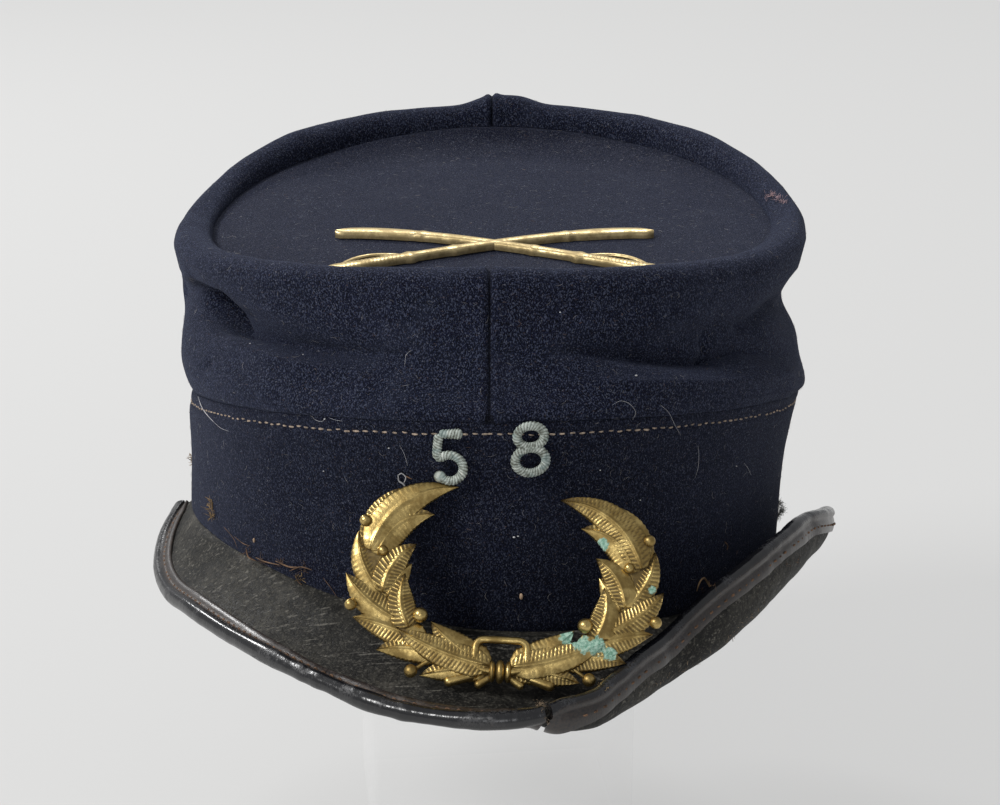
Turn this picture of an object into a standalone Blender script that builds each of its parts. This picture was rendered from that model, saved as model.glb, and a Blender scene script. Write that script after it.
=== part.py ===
"""A wool forage cap with a leather peak and brass badges, resting on a clear riser.

Metres, +Z up. The origin is the centre of the riser's foot. The cap faces -Y, and +X is on the viewer's right.
Angles round the cap are in degrees from the front, positive towards +X.
"""
import math

import bmesh
import bpy
from mathutils import Matrix, Vector

# The riser
STAND_HEIGHT = 0.1778
STAND_SIDE = 0.070
STAND_TURN = 6.5
STAND_EDGE = 0.0008

# The cap's outer sizes. BAND_TOP_DROP is from the riser's top down to the middle of the band's upper edge, which
# slopes by BAND_TOP_SLOPE to the front and to the back. SEAM_PEAK is where the back seam lifts the rim. TIP_FLAT and
# TIP_SHELF are the shares of the way out where the sunken top starts to bend and is level again.
BAND_HALF_WIDTH = 0.0815
BAND_HALF_LENGTH = 0.098
RIM_HALF_WIDTH = 0.0828
RIM_HALF_LENGTH = 0.088
BAND_DEPTH = 0.052
BAND_TOP_DROP = 0.0443
BAND_TOP_SLOPE = 0.0253
CROWN_RISE = 0.0868
RIM_ROLL = 0.0095
RIM_LEG = 0.0008
SEAM_PEAK = 0.0027
SEAM_PEAK_WIDTH = 5.0
SEAM_FLAT = 1.5
FOLD_DEPTH = 0.010
PEAK_REACH = 0.042
TIP_DISH = 0.0055
TIP_FLAT = 0.72
TIP_SHELF = 0.972

# Thicknesses and clearances
BAND_WALL = 0.0026
CROWN_WALL = 0.0020
TIP_WALL = 0.0019
PEAK_WALL = 0.0022
BINDING_WALL = 0.0011
BINDING_BEAD = 0.0023
BINDING_WIDTH = 0.0062
CLEARANCE = 0.0003
SEAM_GAP = 0.0004
TIP_TOP = STAND_HEIGHT + CLEARANCE + TIP_WALL

# The badges
WREATH_WIDTH = 0.073
WREATH_HEIGHT = 0.045
WREATH_LEAN = 35.0
WREATH_TURN = -3.0
WREATH_DROOP = 0.955
WREATH_OFFSET = 0.0024
WREATH_REACH = 0.0244
WREATH_LIFT = 0.0012
LEAF_WIDTH = 0.0050
LEAF_THICKNESS = 0.0024
BERRY_DIAMETER = 0.0028
BERRY_STALK = 0.0011
KNOT_WIDTH = 0.0042
KNOT_DIAMETER = 0.0050
LOOP_WIRE = 0.0014
LOOP_WIDTH = 0.0105
LOOP_HEIGHT = 0.0062
NUMERAL_HEIGHT = 0.0135
NUMERAL_STROKE = 0.0022
NUMERAL_THICKNESS = 0.0013
NUMERAL_SPACING = 0.0184
NUMERAL_STANDOFF = 0.0008
SABRE_LENGTH = 0.081
SABRE_SPREAD = 0.0320
SABRE_BOW = 0.0068
SABRE_WIDTH = 0.0030
SABRE_THICKNESS = 0.0016
GUARD_WIRE = 0.0009
SABRE_OFFSET = 0.001
SABRE_FORWARD = 0.0375
SABRE_REST = 0.0008

# Resolution
COLUMN_STEP = 7.5
PEAK_STEP = 5.0

# The cap at eight places round it, with angles in degrees. rise is the height of the rim's crest above the band's
# upper edge as a share of CROWN_RISE, depth is the band's as a share of BAND_DEPTH, tip_edge is the height of the
# sunken top's edge above its middle as a share of TIP_DISH. Insets are shares of FOLD_DEPTH: foot_inset at the
# band's foot, edge_inset where band and crown meet. Heights of the crown's rings are shares of the rise.
PLACES = (
    {"angle": 0.0, "rise": 0.371, "depth": 1.0, "tip_edge": 0.73,
     "foot_inset": 0.0, "edge_height": 0.0, "edge_inset": 0.0,
     "bulge_height": 0.1, "bulge_inset": 0.0,
     "valley_height": 0.25, "valley_inset": 0.15,
     "neck_height": 0.7, "neck_inset": 0.05},
    {"angle": 50.0, "rise": 0.412, "depth": 0.97, "tip_edge": 0.0,
     "foot_inset": 0.12, "edge_height": 0.0, "edge_inset": 0.0,
     "bulge_height": 0.13, "bulge_inset": -0.05,
     "valley_height": 0.5, "valley_inset": 0.45,
     "neck_height": 0.74, "neck_inset": 0.1},
    {"angle": 90.0, "rise": 0.565, "depth": 0.8, "tip_edge": -0.25,
     "foot_inset": 0.42, "edge_height": 0.0, "edge_inset": -0.08,
     "bulge_height": 0.08, "bulge_inset": -0.3,
     "valley_height": 0.54, "valley_inset": 0.7,
     "neck_height": 0.8, "neck_inset": 0.12},
    {"angle": 135.0, "rise": 0.862, "depth": 0.67, "tip_edge": 0.48,
     "foot_inset": 0.2, "edge_height": 0.0, "edge_inset": 0.0,
     "bulge_height": 0.13, "bulge_inset": -0.18,
     "valley_height": 0.55, "valley_inset": 0.52,
     "neck_height": 0.83, "neck_inset": 0.11},
    {"angle": 180.0, "rise": 0.964, "depth": 0.59, "tip_edge": 1.0,
     "foot_inset": 0.0, "edge_height": 0.0, "edge_inset": 0.0,
     "bulge_height": 0.2, "bulge_inset": -0.05,
     "valley_height": 0.55, "valley_inset": 0.3,
     "neck_height": 0.84, "neck_inset": 0.1},
    {"angle": 225.0, "rise": 0.842, "depth": 0.58, "tip_edge": 0.28,
     "foot_inset": 0.0, "edge_height": 0.0, "edge_inset": 0.12,
     "bulge_height": 0.3, "bulge_inset": -0.1,
     "valley_height": 0.56, "valley_inset": 0.23,
     "neck_height": 0.83, "neck_inset": 0.1},
    {"angle": 270.0, "rise": 0.536, "depth": 0.625, "tip_edge": -0.6,
     "foot_inset": 0.0, "edge_height": 0.0, "edge_inset": 0.19,
     "bulge_height": 0.36, "bulge_inset": -0.18,
     "valley_height": 0.57, "valley_inset": 0.25,
     "neck_height": 0.8, "neck_inset": 0.1},
    {"angle": 310.0, "rise": 0.404, "depth": 0.73, "tip_edge": -0.15,
     "foot_inset": 0.0, "edge_height": 0.0, "edge_inset": 0.05,
     "bulge_height": 0.18, "bulge_inset": -0.1,
     "valley_height": 0.52, "valley_inset": 0.5,
     "neck_height": 0.75, "neck_inset": 0.1},
)

# Rings of the crown's cloth from the band up to the rim; blend goes from the band's plan (0) to the rim's (1)
CROWN_RINGS = (
    {"ring": "edge", "blend": 0.0},
    {"ring": "bulge", "blend": 0.0},
    {"ring": "valley", "blend": 0.5},
    {"ring": "neck", "blend": 1.0},
)

# Dents pressed into the crown: place in degrees and share of the rise, half widths in the same units, depth as a
# share of FOLD_DEPTH.
CROWN_DENTS = (
    {"name": "left_pinch", "angle": -57.0, "height": 0.56, "wide": 11.0, "tall": 0.12, "depth": 0.45},
    {"name": "right_crease", "angle": 43.0, "height": 0.50, "wide": 13.0, "tall": 0.09, "depth": 0.22},
)

# Cross sections of the peak, from the band's foot outwards: place in degrees, then reach and rise of the middle of
# the leather and of its edge, as shares of PEAK_REACH.
PEAK_SECTIONS = (
    {"angle": -90.0, "mid_reach": 0.02, "mid_rise": -0.01, "edge_reach": 0.03, "edge_rise": 0.0},
    {"angle": -80.0, "mid_reach": 0.08, "mid_rise": -0.087, "edge_reach": 0.147, "edge_rise": -0.112},
    {"angle": -70.0, "mid_reach": 0.13, "mid_rise": -0.163, "edge_reach": 0.243, "edge_rise": -0.233},
    {"angle": -60.0, "mid_reach": 0.16, "mid_rise": -0.19, "edge_reach": 0.3, "edge_rise": -0.285},
    {"angle": -50.0, "mid_reach": 0.18, "mid_rise": -0.177, "edge_reach": 0.333, "edge_rise": -0.263},
    {"angle": -40.0, "mid_reach": 0.22, "mid_rise": -0.163, "edge_reach": 0.387, "edge_rise": -0.242},
    {"angle": -30.0, "mid_reach": 0.27, "mid_rise": -0.14, "edge_reach": 0.5, "edge_rise": -0.18},
    {"angle": -20.0, "mid_reach": 0.36, "mid_rise": -0.117, "edge_reach": 0.65, "edge_rise": -0.13},
    {"angle": -10.0, "mid_reach": 0.45, "mid_rise": -0.094, "edge_reach": 0.82, "edge_rise": -0.1},
    {"angle": 0.0, "mid_reach": 0.52, "mid_rise": -0.092, "edge_reach": 0.93, "edge_rise": -0.05},
    {"angle": 4.0, "mid_reach": 0.58, "mid_rise": -0.13, "edge_reach": 0.92, "edge_rise": -0.03},
    {"angle": 7.0, "mid_reach": 0.74, "mid_rise": -0.14, "edge_reach": 0.891, "edge_rise": -0.015},
    {"angle": 10.7, "mid_reach": 0.69, "mid_rise": -0.17, "edge_reach": 0.814, "edge_rise": 0.0},
    {"angle": 12.7, "mid_reach": 0.63, "mid_rise": -0.18, "edge_reach": 0.736, "edge_rise": 0.02},
    {"angle": 17.5, "mid_reach": 0.52, "mid_rise": -0.179, "edge_reach": 0.58, "edge_rise": 0.07},
    {"angle": 24.0, "mid_reach": 0.4, "mid_rise": -0.14, "edge_reach": 0.415, "edge_rise": 0.11},
    {"angle": 31.0, "mid_reach": 0.36, "mid_rise": -0.067, "edge_reach": 0.351, "edge_rise": 0.25},
    {"angle": 40.0, "mid_reach": 0.31, "mid_rise": 0.036, "edge_reach": 0.298, "edge_rise": 0.35},
    {"angle": 50.0, "mid_reach": 0.26, "mid_rise": 0.13, "edge_reach": 0.266, "edge_rise": 0.43},
    {"angle": 60.0, "mid_reach": 0.25, "mid_rise": 0.19, "edge_reach": 0.248, "edge_rise": 0.43},
    {"angle": 70.0, "mid_reach": 0.26, "mid_rise": 0.16, "edge_reach": 0.3, "edge_rise": 0.345},
    {"angle": 80.0, "mid_reach": 0.21, "mid_rise": 0.075, "edge_reach": 0.28, "edge_rise": 0.22},
    {"angle": 86.0, "mid_reach": 0.12, "mid_rise": 0.028, "edge_reach": 0.212, "edge_rise": 0.1},
)
PEAK_START = -88.0
PEAK_END = 84.0
CRACK_ANGLE = 5.6
CRACK_GAP = 0.6
BINDING_SETBACK = 1.0

# Leaves of the wreath's left half. u and v are shares of WREATH_WIDTH and WREATH_HEIGHT from the knot, width is a
# share of LEAF_WIDTH, bow is the share of the leaf's length that its middle stands off to the left of base to tip,
# lift is the layer as a share of LEAF_THICKNESS.
LEAVES = (
    {"tip": (-0.162, 0.932), "base": (-0.425, 0.585), "width": 1.00, "bow": 0.17, "lift": 0.35},
    {"tip": (-0.329, 0.919), "base": (-0.430, 0.610), "width": 0.70, "bow": 0.13, "lift": 0.0},
    {"tip": (-0.232, 0.785), "base": (-0.400, 0.560), "width": 0.95, "bow": 0.19, "lift": 0.15},
    {"tip": (-0.466, 0.681), "base": (-0.380, 0.370), "width": 0.75, "bow": 0.10, "lift": 0.0},
    {"tip": (-0.281, 0.626), "base": (-0.378, 0.370), "width": 0.85, "bow": 0.13, "lift": 0.25},
    {"tip": (-0.293, 0.526), "base": (-0.365, 0.345), "width": 0.70, "bow": 0.05, "lift": 0.0},
    {"tip": (-0.496, 0.462), "base": (-0.330, 0.240), "width": 0.85, "bow": 0.07, "lift": 0.1},
    {"tip": (-0.310, 0.472), "base": (-0.290, 0.200), "width": 0.85, "bow": 0.12, "lift": 0.3},
    {"tip": (-0.466, 0.238), "base": (-0.235, 0.120), "width": 0.90, "bow": -0.04, "lift": 0.05},
    {"tip": (-0.386, 0.079), "base": (-0.185, 0.075), "width": 0.85, "bow": -0.07, "lift": 0.0},
    {"tip": (-0.329, 0.194), "base": (-0.032, 0.023), "width": 0.90, "bow": 0.05, "lift": 0.45},
    {"tip": (-0.222, 0.234), "base": (-0.032, 0.032), "width": 0.90, "bow": 0.07, "lift": 0.25},
    {"tip": (-0.247, -0.040), "base": (-0.032, 0.017), "width": 0.80, "bow": -0.04, "lift": 0.15},
)
STALKS = (
    {"tip": (-0.171, -0.070), "base": (-0.025, 0.006), "width": 0.42},
    {"tip": (-0.075, -0.081), "base": (-0.020, -0.018), "width": 0.34},
)
BERRIES = (
    {"at": (-0.445, 0.734), "root": (-0.405, 0.56), "size": 1.0},
    {"at": (-0.385, 0.583), "root": (-0.402, 0.51), "size": 0.85},
    {"at": (-0.474, 0.298), "root": (-0.345, 0.27), "size": 1.0},
    {"at": (-0.256, 0.262), "root": (-0.300, 0.17), "size": 1.25},
    {"at": (-0.275, -0.023), "root": (-0.185, 0.080), "size": 1.1},
)
STEM = ((-0.03, 0.015), (-0.16, 0.06), (-0.25, 0.14), (-0.325, 0.25), (-0.37, 0.38), (-0.40, 0.51), (-0.41, 0.63))

# One sabre along its length: share of the length, share of SABRE_WIDTH
SABRE_WIDTHS = (
    (0.0, 0.95), (0.04, 1.25), (0.06, 1.0), (0.16, 1.0), (0.175, 1.3), (0.19, 1.0), (0.40, 0.9), (0.58, 0.85),
    (0.60, 1.15), (0.62, 0.85), (0.72, 0.8), (0.74, 1.35), (0.765, 0.9), (0.88, 1.0), (0.97, 1.15), (1.0, 0.7),
)

COLLECTION = bpy.data.collections.new("military_cap_on_stand")
CUTTERS = bpy.data.collections.new("cutters")


def clear_scene():
    """Remove whatever is in the scene, and add this object's collections."""
    for obj in list(bpy.data.objects):
        bpy.data.objects.remove(obj, do_unlink=True)
    bpy.context.scene.collection.children.link(COLLECTION)
    bpy.context.scene.collection.children.link(CUTTERS)


def material(name, color, roughness, metallic=0.0, transmission=0.0):
    """A Principled material with one colour."""
    mat = bpy.data.materials.new(name)
    mat.use_nodes = True
    shader = mat.node_tree.nodes["Principled BSDF"]
    shader.inputs["Base Color"].default_value = (*color, 1.0)
    shader.inputs["Roughness"].default_value = roughness
    shader.inputs["Metallic"].default_value = metallic
    shader.inputs["Transmission Weight"].default_value = transmission
    mat.diffuse_color = (*color, 1.0)
    return mat


def add_object(name, mesh, mat, collection=COLLECTION):
    """Link a mesh as a named object with one material."""
    mesh.name = name
    mesh.materials.clear()
    mesh.materials.append(mat)
    obj = bpy.data.objects.new(name, mesh)
    collection.objects.link(obj)
    return obj


def smooth_shading(obj, angle=40.0):
    """Shade smooth, with edges sharper than the angle kept sharp."""
    obj.data.shade_smooth()
    obj.data.set_sharp_from_angle(angle=math.radians(angle))


def solidify(obj, thickness):
    """Give an open sheet its wall, inwards from the modelled face."""
    wall = obj.modifiers.new("wall", "SOLIDIFY")
    wall.thickness = thickness
    wall.offset = -1.0
    wall.use_even_offset = True
    wall.use_rim = True
    return wall


def loft(name, rows, closed, mat, flip=False):
    """Quads between rows of points that all have the same length; closed joins each row's ends."""
    bm = bmesh.new()
    grid = [[bm.verts.new(point) for point in row] for row in rows]
    count = len(rows[0])
    for lower, upper in zip(grid, grid[1:]):
        for i in range(count if closed else count - 1):
            j = (i + 1) % count
            face = [lower[i], lower[j], upper[j], upper[i]]
            bm.faces.new(face[::-1] if flip else face)
    mesh = bpy.data.meshes.new(name)
    bm.to_mesh(mesh)
    bm.free()
    return add_object(name, mesh, mat)


def lofted_solid(name, rows, mat):
    """A closed loft through sections that are closed outlines, with its two ends filled."""
    obj = loft(name, rows, True, mat)
    bm = bmesh.new()
    bm.from_mesh(obj.data)
    bmesh.ops.holes_fill(bm, edges=[edge for edge in bm.edges if edge.is_boundary])
    bmesh.ops.triangulate(bm, faces=bm.faces)
    bmesh.ops.recalc_face_normals(bm, faces=bm.faces)
    bm.to_mesh(obj.data)
    bm.free()
    smooth_shading(obj)
    return obj


def hermite(a, b, slope_a, slope_b, t):
    """Cubic from a to b with the given end slopes."""
    t2 = t * t
    t3 = t2 * t
    return (2 * t3 - 3 * t2 + 1) * a + (t3 - 2 * t2 + t) * slope_a + (3 * t2 - 2 * t3) * b + (t3 - t2) * slope_b


def smooth_value(stations, values, x, period=None):
    """Cubic through (station, value) pairs, periodic where a period is given."""
    xs = list(stations)
    ys = list(values)
    if period:
        x = x % period
        xs = [xs[-2] - period, xs[-1] - period] + xs + [xs[0] + period, xs[1] + period]
        ys = ys[-2:] + ys + ys[:2]
    last = len(xs) - 1
    i = 0
    while i < last - 1 and x > xs[i + 1]:
        i += 1
    span = xs[i + 1] - xs[i]

    def slope(k):
        low, high = max(k - 1, 0), min(k + 1, last)
        return (ys[high] - ys[low]) / (xs[high] - xs[low])

    t = min(max((x - xs[i]) / span, 0.0), 1.0)
    return hermite(ys[i], ys[i + 1], slope(i) * span, slope(i + 1) * span, t)


def around(column, angle):
    """A value at any angle round the cap from a column of PLACES."""
    return smooth_value([row["angle"] for row in PLACES], [row[column] for row in PLACES], angle, 360.0)


def on_plan(angle, blend, inset):
    """A point in plan on the ellipse between the band's and the rim's, inset along both half axes."""
    half_width = BAND_HALF_WIDTH + (RIM_HALF_WIDTH - BAND_HALF_WIDTH) * blend - inset
    half_length = BAND_HALF_LENGTH + (RIM_HALF_LENGTH - BAND_HALF_LENGTH) * blend - inset
    turn = math.radians(angle)
    return half_width * math.sin(turn), -half_length * math.cos(turn)


def outward(angle, half_width, half_length):
    """The horizontal outward normal of an ellipse at an angle."""
    turn = math.radians(angle)
    return Vector((math.sin(turn) / half_width, -math.cos(turn) / half_length, 0.0)).normalized()


def band_top(angle):
    """Height of the band's upper edge: a plane that rises to the front."""
    return STAND_HEIGHT - BAND_TOP_DROP + BAND_TOP_SLOPE * math.cos(math.radians(angle))


def band_foot(angle):
    """Height of the band's lower edge."""
    return band_top(angle) - BAND_DEPTH * around("depth", angle)


def rim_crest(angle):
    """Height of the top of the rolled rim, with a small peak where the back seam ends."""
    from_back = max(abs(angle % 360.0 - 180.0) - SEAM_FLAT, 0.0) / SEAM_PEAK_WIDTH
    return band_top(angle) + CROWN_RISE * around("rise", angle) + SEAM_PEAK * math.exp(-from_back ** 2)


def dent_depth(angle, height):
    """How far the dents press the cloth in at a place on the crown."""
    depth = 0.0
    for dent in CROWN_DENTS:
        across = (angle - dent["angle"] + 180.0) % 360.0 - 180.0
        reach = (across / dent["wide"]) ** 2 + ((height - dent["height"]) / dent["tall"]) ** 2
        depth += FOLD_DEPTH * dent["depth"] * math.exp(-reach)
    return depth


def tip_edge(angle):
    """Height of the sunken top's upper face at its edge."""
    return TIP_TOP + TIP_DISH * around("tip_edge", angle)


def tip_height(angle, share):
    """Height of the sunken top's upper face at a share of its way out: flat, then bent, then level at the edge."""
    bend = min(max((share - TIP_FLAT) / (TIP_SHELF - TIP_FLAT), 0.0), 1.0) ** 2
    return TIP_TOP + (tip_edge(angle) - TIP_TOP) * bend


def crown_profile(angle):
    """Outer points of the crown at one angle, from the band's edge over the rim down to the sunken top."""
    base = band_top(angle) + CLEARANCE
    rise = rim_crest(angle) - base
    heights = [around(ring["ring"] + "_height", angle) for ring in CROWN_RINGS]
    insets = [around(ring["ring"] + "_inset", angle) * FOLD_DEPTH for ring in CROWN_RINGS]
    blends = [ring["blend"] for ring in CROWN_RINGS]
    stations = list(range(len(CROWN_RINGS)))
    points = []
    for step in range(3 * (len(CROWN_RINGS) - 1) + 1):
        place = step / 3.0
        height = smooth_value(stations, heights, place)
        inset = smooth_value(stations, insets, place) + dent_depth(angle, height)
        x, y = on_plan(angle, smooth_value(stations, blends, place), inset)
        points.append(Vector((x, y, base + height * rise)))
    radius = RIM_ROLL / 2
    crest = rim_crest(angle)
    leg_end = tip_edge(angle) + CLEARANCE
    inner_drop = min(radius, crest - leg_end - RIM_LEG)
    for turn in (0.0, 45.0, 90.0, 135.0, 180.0):
        x, y = on_plan(angle, 1.0, radius * (1.0 - math.cos(math.radians(turn))))
        drop = radius if turn <= 90.0 else inner_drop
        points.append(Vector((x, y, crest - drop * (1.0 - math.sin(math.radians(turn))))))
    points.append(Vector((x, y, leg_end)))
    return points


def columns(start, end, step):
    """Evenly spaced angles from start to end, both included."""
    count = max(2, round(abs(end - start) / step))
    return [start + (end - start) * i / count for i in range(count + 1)]


def build_crown_half(name, side, mat):
    """One side piece of the crown, from the front seam to the back seam; side is -1 on the left, 1 on the right."""
    rows = []
    for angle in sorted(columns(0.0, 180.0, COLUMN_STEP) + [180.0 - SEAM_FLAT]):
        profile = crown_profile(side * angle)
        if angle in (0.0, 180.0):
            for point in profile:
                point.x = side * SEAM_GAP / 2
        rows.append(profile)
    obj = loft(name, rows, False, mat, flip=side > 0)
    solidify(obj, CROWN_WALL)
    smooth_shading(obj)
    return obj


def build_band(mat):
    """The cloth band, a ring between its foot and its sloping upper edge."""
    rows = []
    for share in (0.0, 0.35, 0.7, 1.0):
        row = []
        for angle in columns(0.0, 360.0, COLUMN_STEP)[:-1]:
            foot_inset = around("foot_inset", angle)
            inset = foot_inset + (around("edge_inset", angle) - foot_inset) * share ** 2
            x, y = on_plan(angle, 0.0, inset * FOLD_DEPTH)
            row.append(Vector((x, y, band_foot(angle) + share * (band_top(angle) - band_foot(angle)))))
        rows.append(row)
    obj = loft("band", rows, True, mat)
    solidify(obj, BAND_WALL)
    smooth_shading(obj)
    return obj


def build_tip(mat):
    """The sunken top: flat over the riser, with its edge under the rolled rim's inner leg."""
    rim_inset = RIM_ROLL - CROWN_WALL * 0.65
    angles = columns(0.0, 360.0, COLUMN_STEP)[:-1]
    rows = []
    for share in (TIP_FLAT, (TIP_FLAT + TIP_SHELF) / 2, TIP_SHELF, 1.0):
        row = []
        for angle in angles:
            x, y = on_plan(angle, 1.0, rim_inset)
            row.append(Vector((x * share, y * share, tip_height(angle, share))))
        rows.append(row)
    obj = loft("crown_tip", rows, True, mat)
    bm = bmesh.new()
    bm.from_mesh(obj.data)
    bm.verts.ensure_lookup_table()
    hub = bm.verts.new((0.0, 0.0, TIP_TOP))
    inner = bm.verts[:len(angles)]
    for i, vert in enumerate(inner):
        bm.faces.new([hub, vert, inner[(i + 1) % len(inner)]])
    bmesh.ops.recalc_face_normals(bm, faces=bm.faces)
    if sum(face.normal.z for face in bm.faces) < 0:
        bmesh.ops.reverse_faces(bm, faces=bm.faces)
    bm.to_mesh(obj.data)
    bm.free()
    solidify(obj, TIP_WALL)
    smooth_shading(obj)
    return obj


def peak_section(angle):
    """Foot point, outward direction and the (reach, rise) of the leather's middle and edge at one angle."""
    x, y = on_plan(angle, 0.0, around("foot_inset", angle) * FOLD_DEPTH)
    foot = Vector((x, y, band_foot(angle) - CLEARANCE))
    stations = [row["angle"] for row in PEAK_SECTIONS]
    read = {key: smooth_value(stations, [row[key] for row in PEAK_SECTIONS], angle) * PEAK_REACH
            for key in ("mid_reach", "mid_rise", "edge_reach", "edge_rise")}
    return foot, outward(angle, BAND_HALF_WIDTH, BAND_HALF_LENGTH), read


def peak_point(angle, t):
    """A point on the peak's upper face, t from 0 at the band's foot to 1 at the edge."""
    foot, out, read = peak_section(angle)
    pull_reach = 2 * read["mid_reach"] - read["edge_reach"] / 2
    pull_rise = 2 * read["mid_rise"] - read["edge_rise"] / 2
    reach = 2 * t * (1 - t) * pull_reach + t * t * read["edge_reach"]
    rise = 2 * t * (1 - t) * pull_rise + t * t * read["edge_rise"]
    return foot + out * reach + Vector((0.0, 0.0, rise))


def peak_frame(angle, inward):
    """A point on the peak's upper face at a distance in from its edge, with the outward tangent and the normal.

    A negative distance lies beyond the edge, straight on along the tangent.
    """
    steps = 24
    t = 1.0
    point = peak_point(angle, t)
    walked = 0.0
    while walked < inward and t > 0.0:
        t -= 1.0 / steps
        following = peak_point(angle, t)
        stride = (following - point).length
        if walked + stride > inward:
            following = point + (following - point) * (inward - walked) / stride
            stride = inward - walked
        walked += stride
        point = following
    t = max(t, 0.0)
    low, high = max(t - 0.06, 0.0), min(t + 0.06, 1.0)
    along = (peak_point(angle, high) - peak_point(angle, low)).normalized()
    sideways = (peak_point(angle + 1.0, t) - peak_point(angle - 1.0, t)).normalized()
    if inward < 0.0:
        point = point - along * inward
    return point, along.cross(sideways).normalized()


def peak_length(angle):
    """Length of the leather from the band's foot to the edge at one angle."""
    points = [peak_point(angle, i / 24) for i in range(25)]
    return sum((after - before).length for before, after in zip(points, points[1:]))


def flange_width(angle):
    """How far the binding reaches in over the leather; it narrows where the peak runs out."""
    return min(BINDING_WIDTH - BINDING_BEAD, peak_length(angle) * 0.6)


def peak_columns(start, end):
    """The peak's columns from start to end, with the binding's own ends among them."""
    ends = [PEAK_START + BINDING_SETBACK, CRACK_ANGLE - CRACK_GAP / 2, CRACK_ANGLE + CRACK_GAP / 2,
            PEAK_END - BINDING_SETBACK]
    regular = [angle for angle in columns(PEAK_START, PEAK_END, PEAK_STEP)
               if all(abs(angle - fixed) > 0.9 for fixed in ends)]
    return [angle for angle in sorted(regular + ends) if start <= angle <= end]


def build_peak(mat):
    """The leather peak, a sheet bent from section to section, with its wall downwards."""
    rows = []
    for angle in peak_columns(PEAK_START, PEAK_END):
        flange = flange_width(angle)
        rest = peak_length(angle) - flange
        out = outward(angle, BAND_HALF_WIDTH, BAND_HALF_LENGTH)
        root = peak_point(angle, 0.0) - out * BAND_WALL * 0.6
        faces = [(root, peak_frame(angle, flange + rest)[1])]
        for inward in (flange + rest, flange + rest * 0.67, flange + rest * 0.33, flange, flange / 2, 0.0):
            faces.append(peak_frame(angle, inward))
        lower = [point - normal * PEAK_WALL for point, normal in faces]
        rows.append([point for point, normal in faces] + lower[::-1])
    return lofted_solid("peak", rows, mat)


def build_binding(name, start, end, mat):
    """Rolled leather round the peak's edge: a C section swept along the edge, clear of the peak by CLEARANCE."""
    half = PEAK_WALL / 2 + CLEARANCE
    outer = half + BINDING_WALL
    bead = BINDING_BEAD
    rows = []
    for angle in peak_columns(start, end):
        flange = flange_width(angle)
        section = (
            (flange, half), (flange, outer), (flange / 2, outer), (bead * 0.2, outer + bead * 0.15),
            (-bead * 0.75, outer * 0.85), (-bead * 1.15, 0.0), (-bead * 0.75, -outer * 0.85),
            (bead * 0.2, -outer - bead * 0.1), (flange / 2, -outer), (flange, -outer), (flange, -half),
            (flange / 2, -half), (-CLEARANCE, -half), (-CLEARANCE, half), (flange / 2, half),
        )
        row = []
        for inward, height in section:
            point, normal = peak_frame(angle, inward)
            row.append(point + normal * (height - PEAK_WALL / 2))
        rows.append(row)
    return lofted_solid(name, rows, mat)


def build_stand(mat):
    """The clear riser: a square block, turned a little about its own axis, with small chamfers."""
    bpy.ops.mesh.primitive_cube_add(size=1.0, location=(0.0, 0.0, STAND_HEIGHT / 2))
    obj = bpy.context.active_object
    obj.data.transform(Matrix.Diagonal((STAND_SIDE, STAND_SIDE, STAND_HEIGHT, 1.0)))
    obj.rotation_euler.z = math.radians(STAND_TURN)
    obj.name = "stand"
    obj.data.name = "stand"
    obj.data.materials.append(mat)
    for collection in list(obj.users_collection):
        collection.objects.unlink(obj)
    COLLECTION.objects.link(obj)
    edges = obj.modifiers.new("edges", "BEVEL")
    edges.width = STAND_EDGE
    edges.segments = 1
    return obj


def evaluated_copy(obj, name):
    """A plain mesh copy of an object as its modifiers leave it, with its place kept."""
    graph = bpy.context.evaluated_depsgraph_get()
    mesh = bpy.data.meshes.new_from_object(obj.evaluated_get(graph))
    mesh.name = name
    return mesh


def curve_mesh(name, points, radius, cyclic=False, resolution=1):
    """A closed tube mesh along points, from a POLY curve with filled caps; the curve is removed."""
    curve = bpy.data.curves.new(name, "CURVE")
    curve.dimensions = "3D"
    curve.bevel_depth = radius
    curve.bevel_resolution = resolution
    curve.use_fill_caps = not cyclic
    spline = curve.splines.new("POLY")
    spline.points.add(len(points) - 1)
    for place, point in zip(spline.points, points):
        place.co = (*point, 1.0)
    spline.use_cyclic_u = cyclic
    obj = bpy.data.objects.new(name, curve)
    COLLECTION.objects.link(obj)
    mesh = evaluated_copy(obj, name)
    bpy.data.objects.remove(obj, do_unlink=True)
    bm = bmesh.new()
    bm.from_mesh(mesh)
    bmesh.ops.remove_doubles(bm, verts=bm.verts, dist=0.00001)
    bmesh.ops.recalc_face_normals(bm, faces=bm.faces)
    bm.to_mesh(mesh)
    bm.free()
    return mesh


def triangulated(mesh):
    """Split a mesh's bent quads, so that a union cuts flat faces only."""
    bm = bmesh.new()
    bm.from_mesh(mesh)
    bmesh.ops.triangulate(bm, faces=bm.faces)
    bm.to_mesh(mesh)
    bm.free()
    return mesh


def without_pockets(mesh):
    """Fill the small pockets that overlapping pieces seal in: only the outermost surface is kept."""
    bm = bmesh.new()
    bm.from_mesh(mesh)
    left = set(bm.verts)
    shells = []
    while left:
        shell = {left.pop()}
        edge_of_shell = list(shell)
        while edge_of_shell:
            vert = edge_of_shell.pop()
            for edge in vert.link_edges:
                other = edge.other_vert(vert)
                if other in left:
                    left.remove(other)
                    shell.add(other)
                    edge_of_shell.append(other)
        shells.append(shell)

    def span(shell):
        return max(vert.co.x for vert in shell) - min(vert.co.x for vert in shell)

    outermost = max(shells, key=span)
    pockets = [vert for shell in shells if shell is not outermost for vert in shell]
    bmesh.ops.delete(bm, geom=pockets, context="VERTS")
    bm.to_mesh(mesh)
    bm.free()
    return mesh


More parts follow.
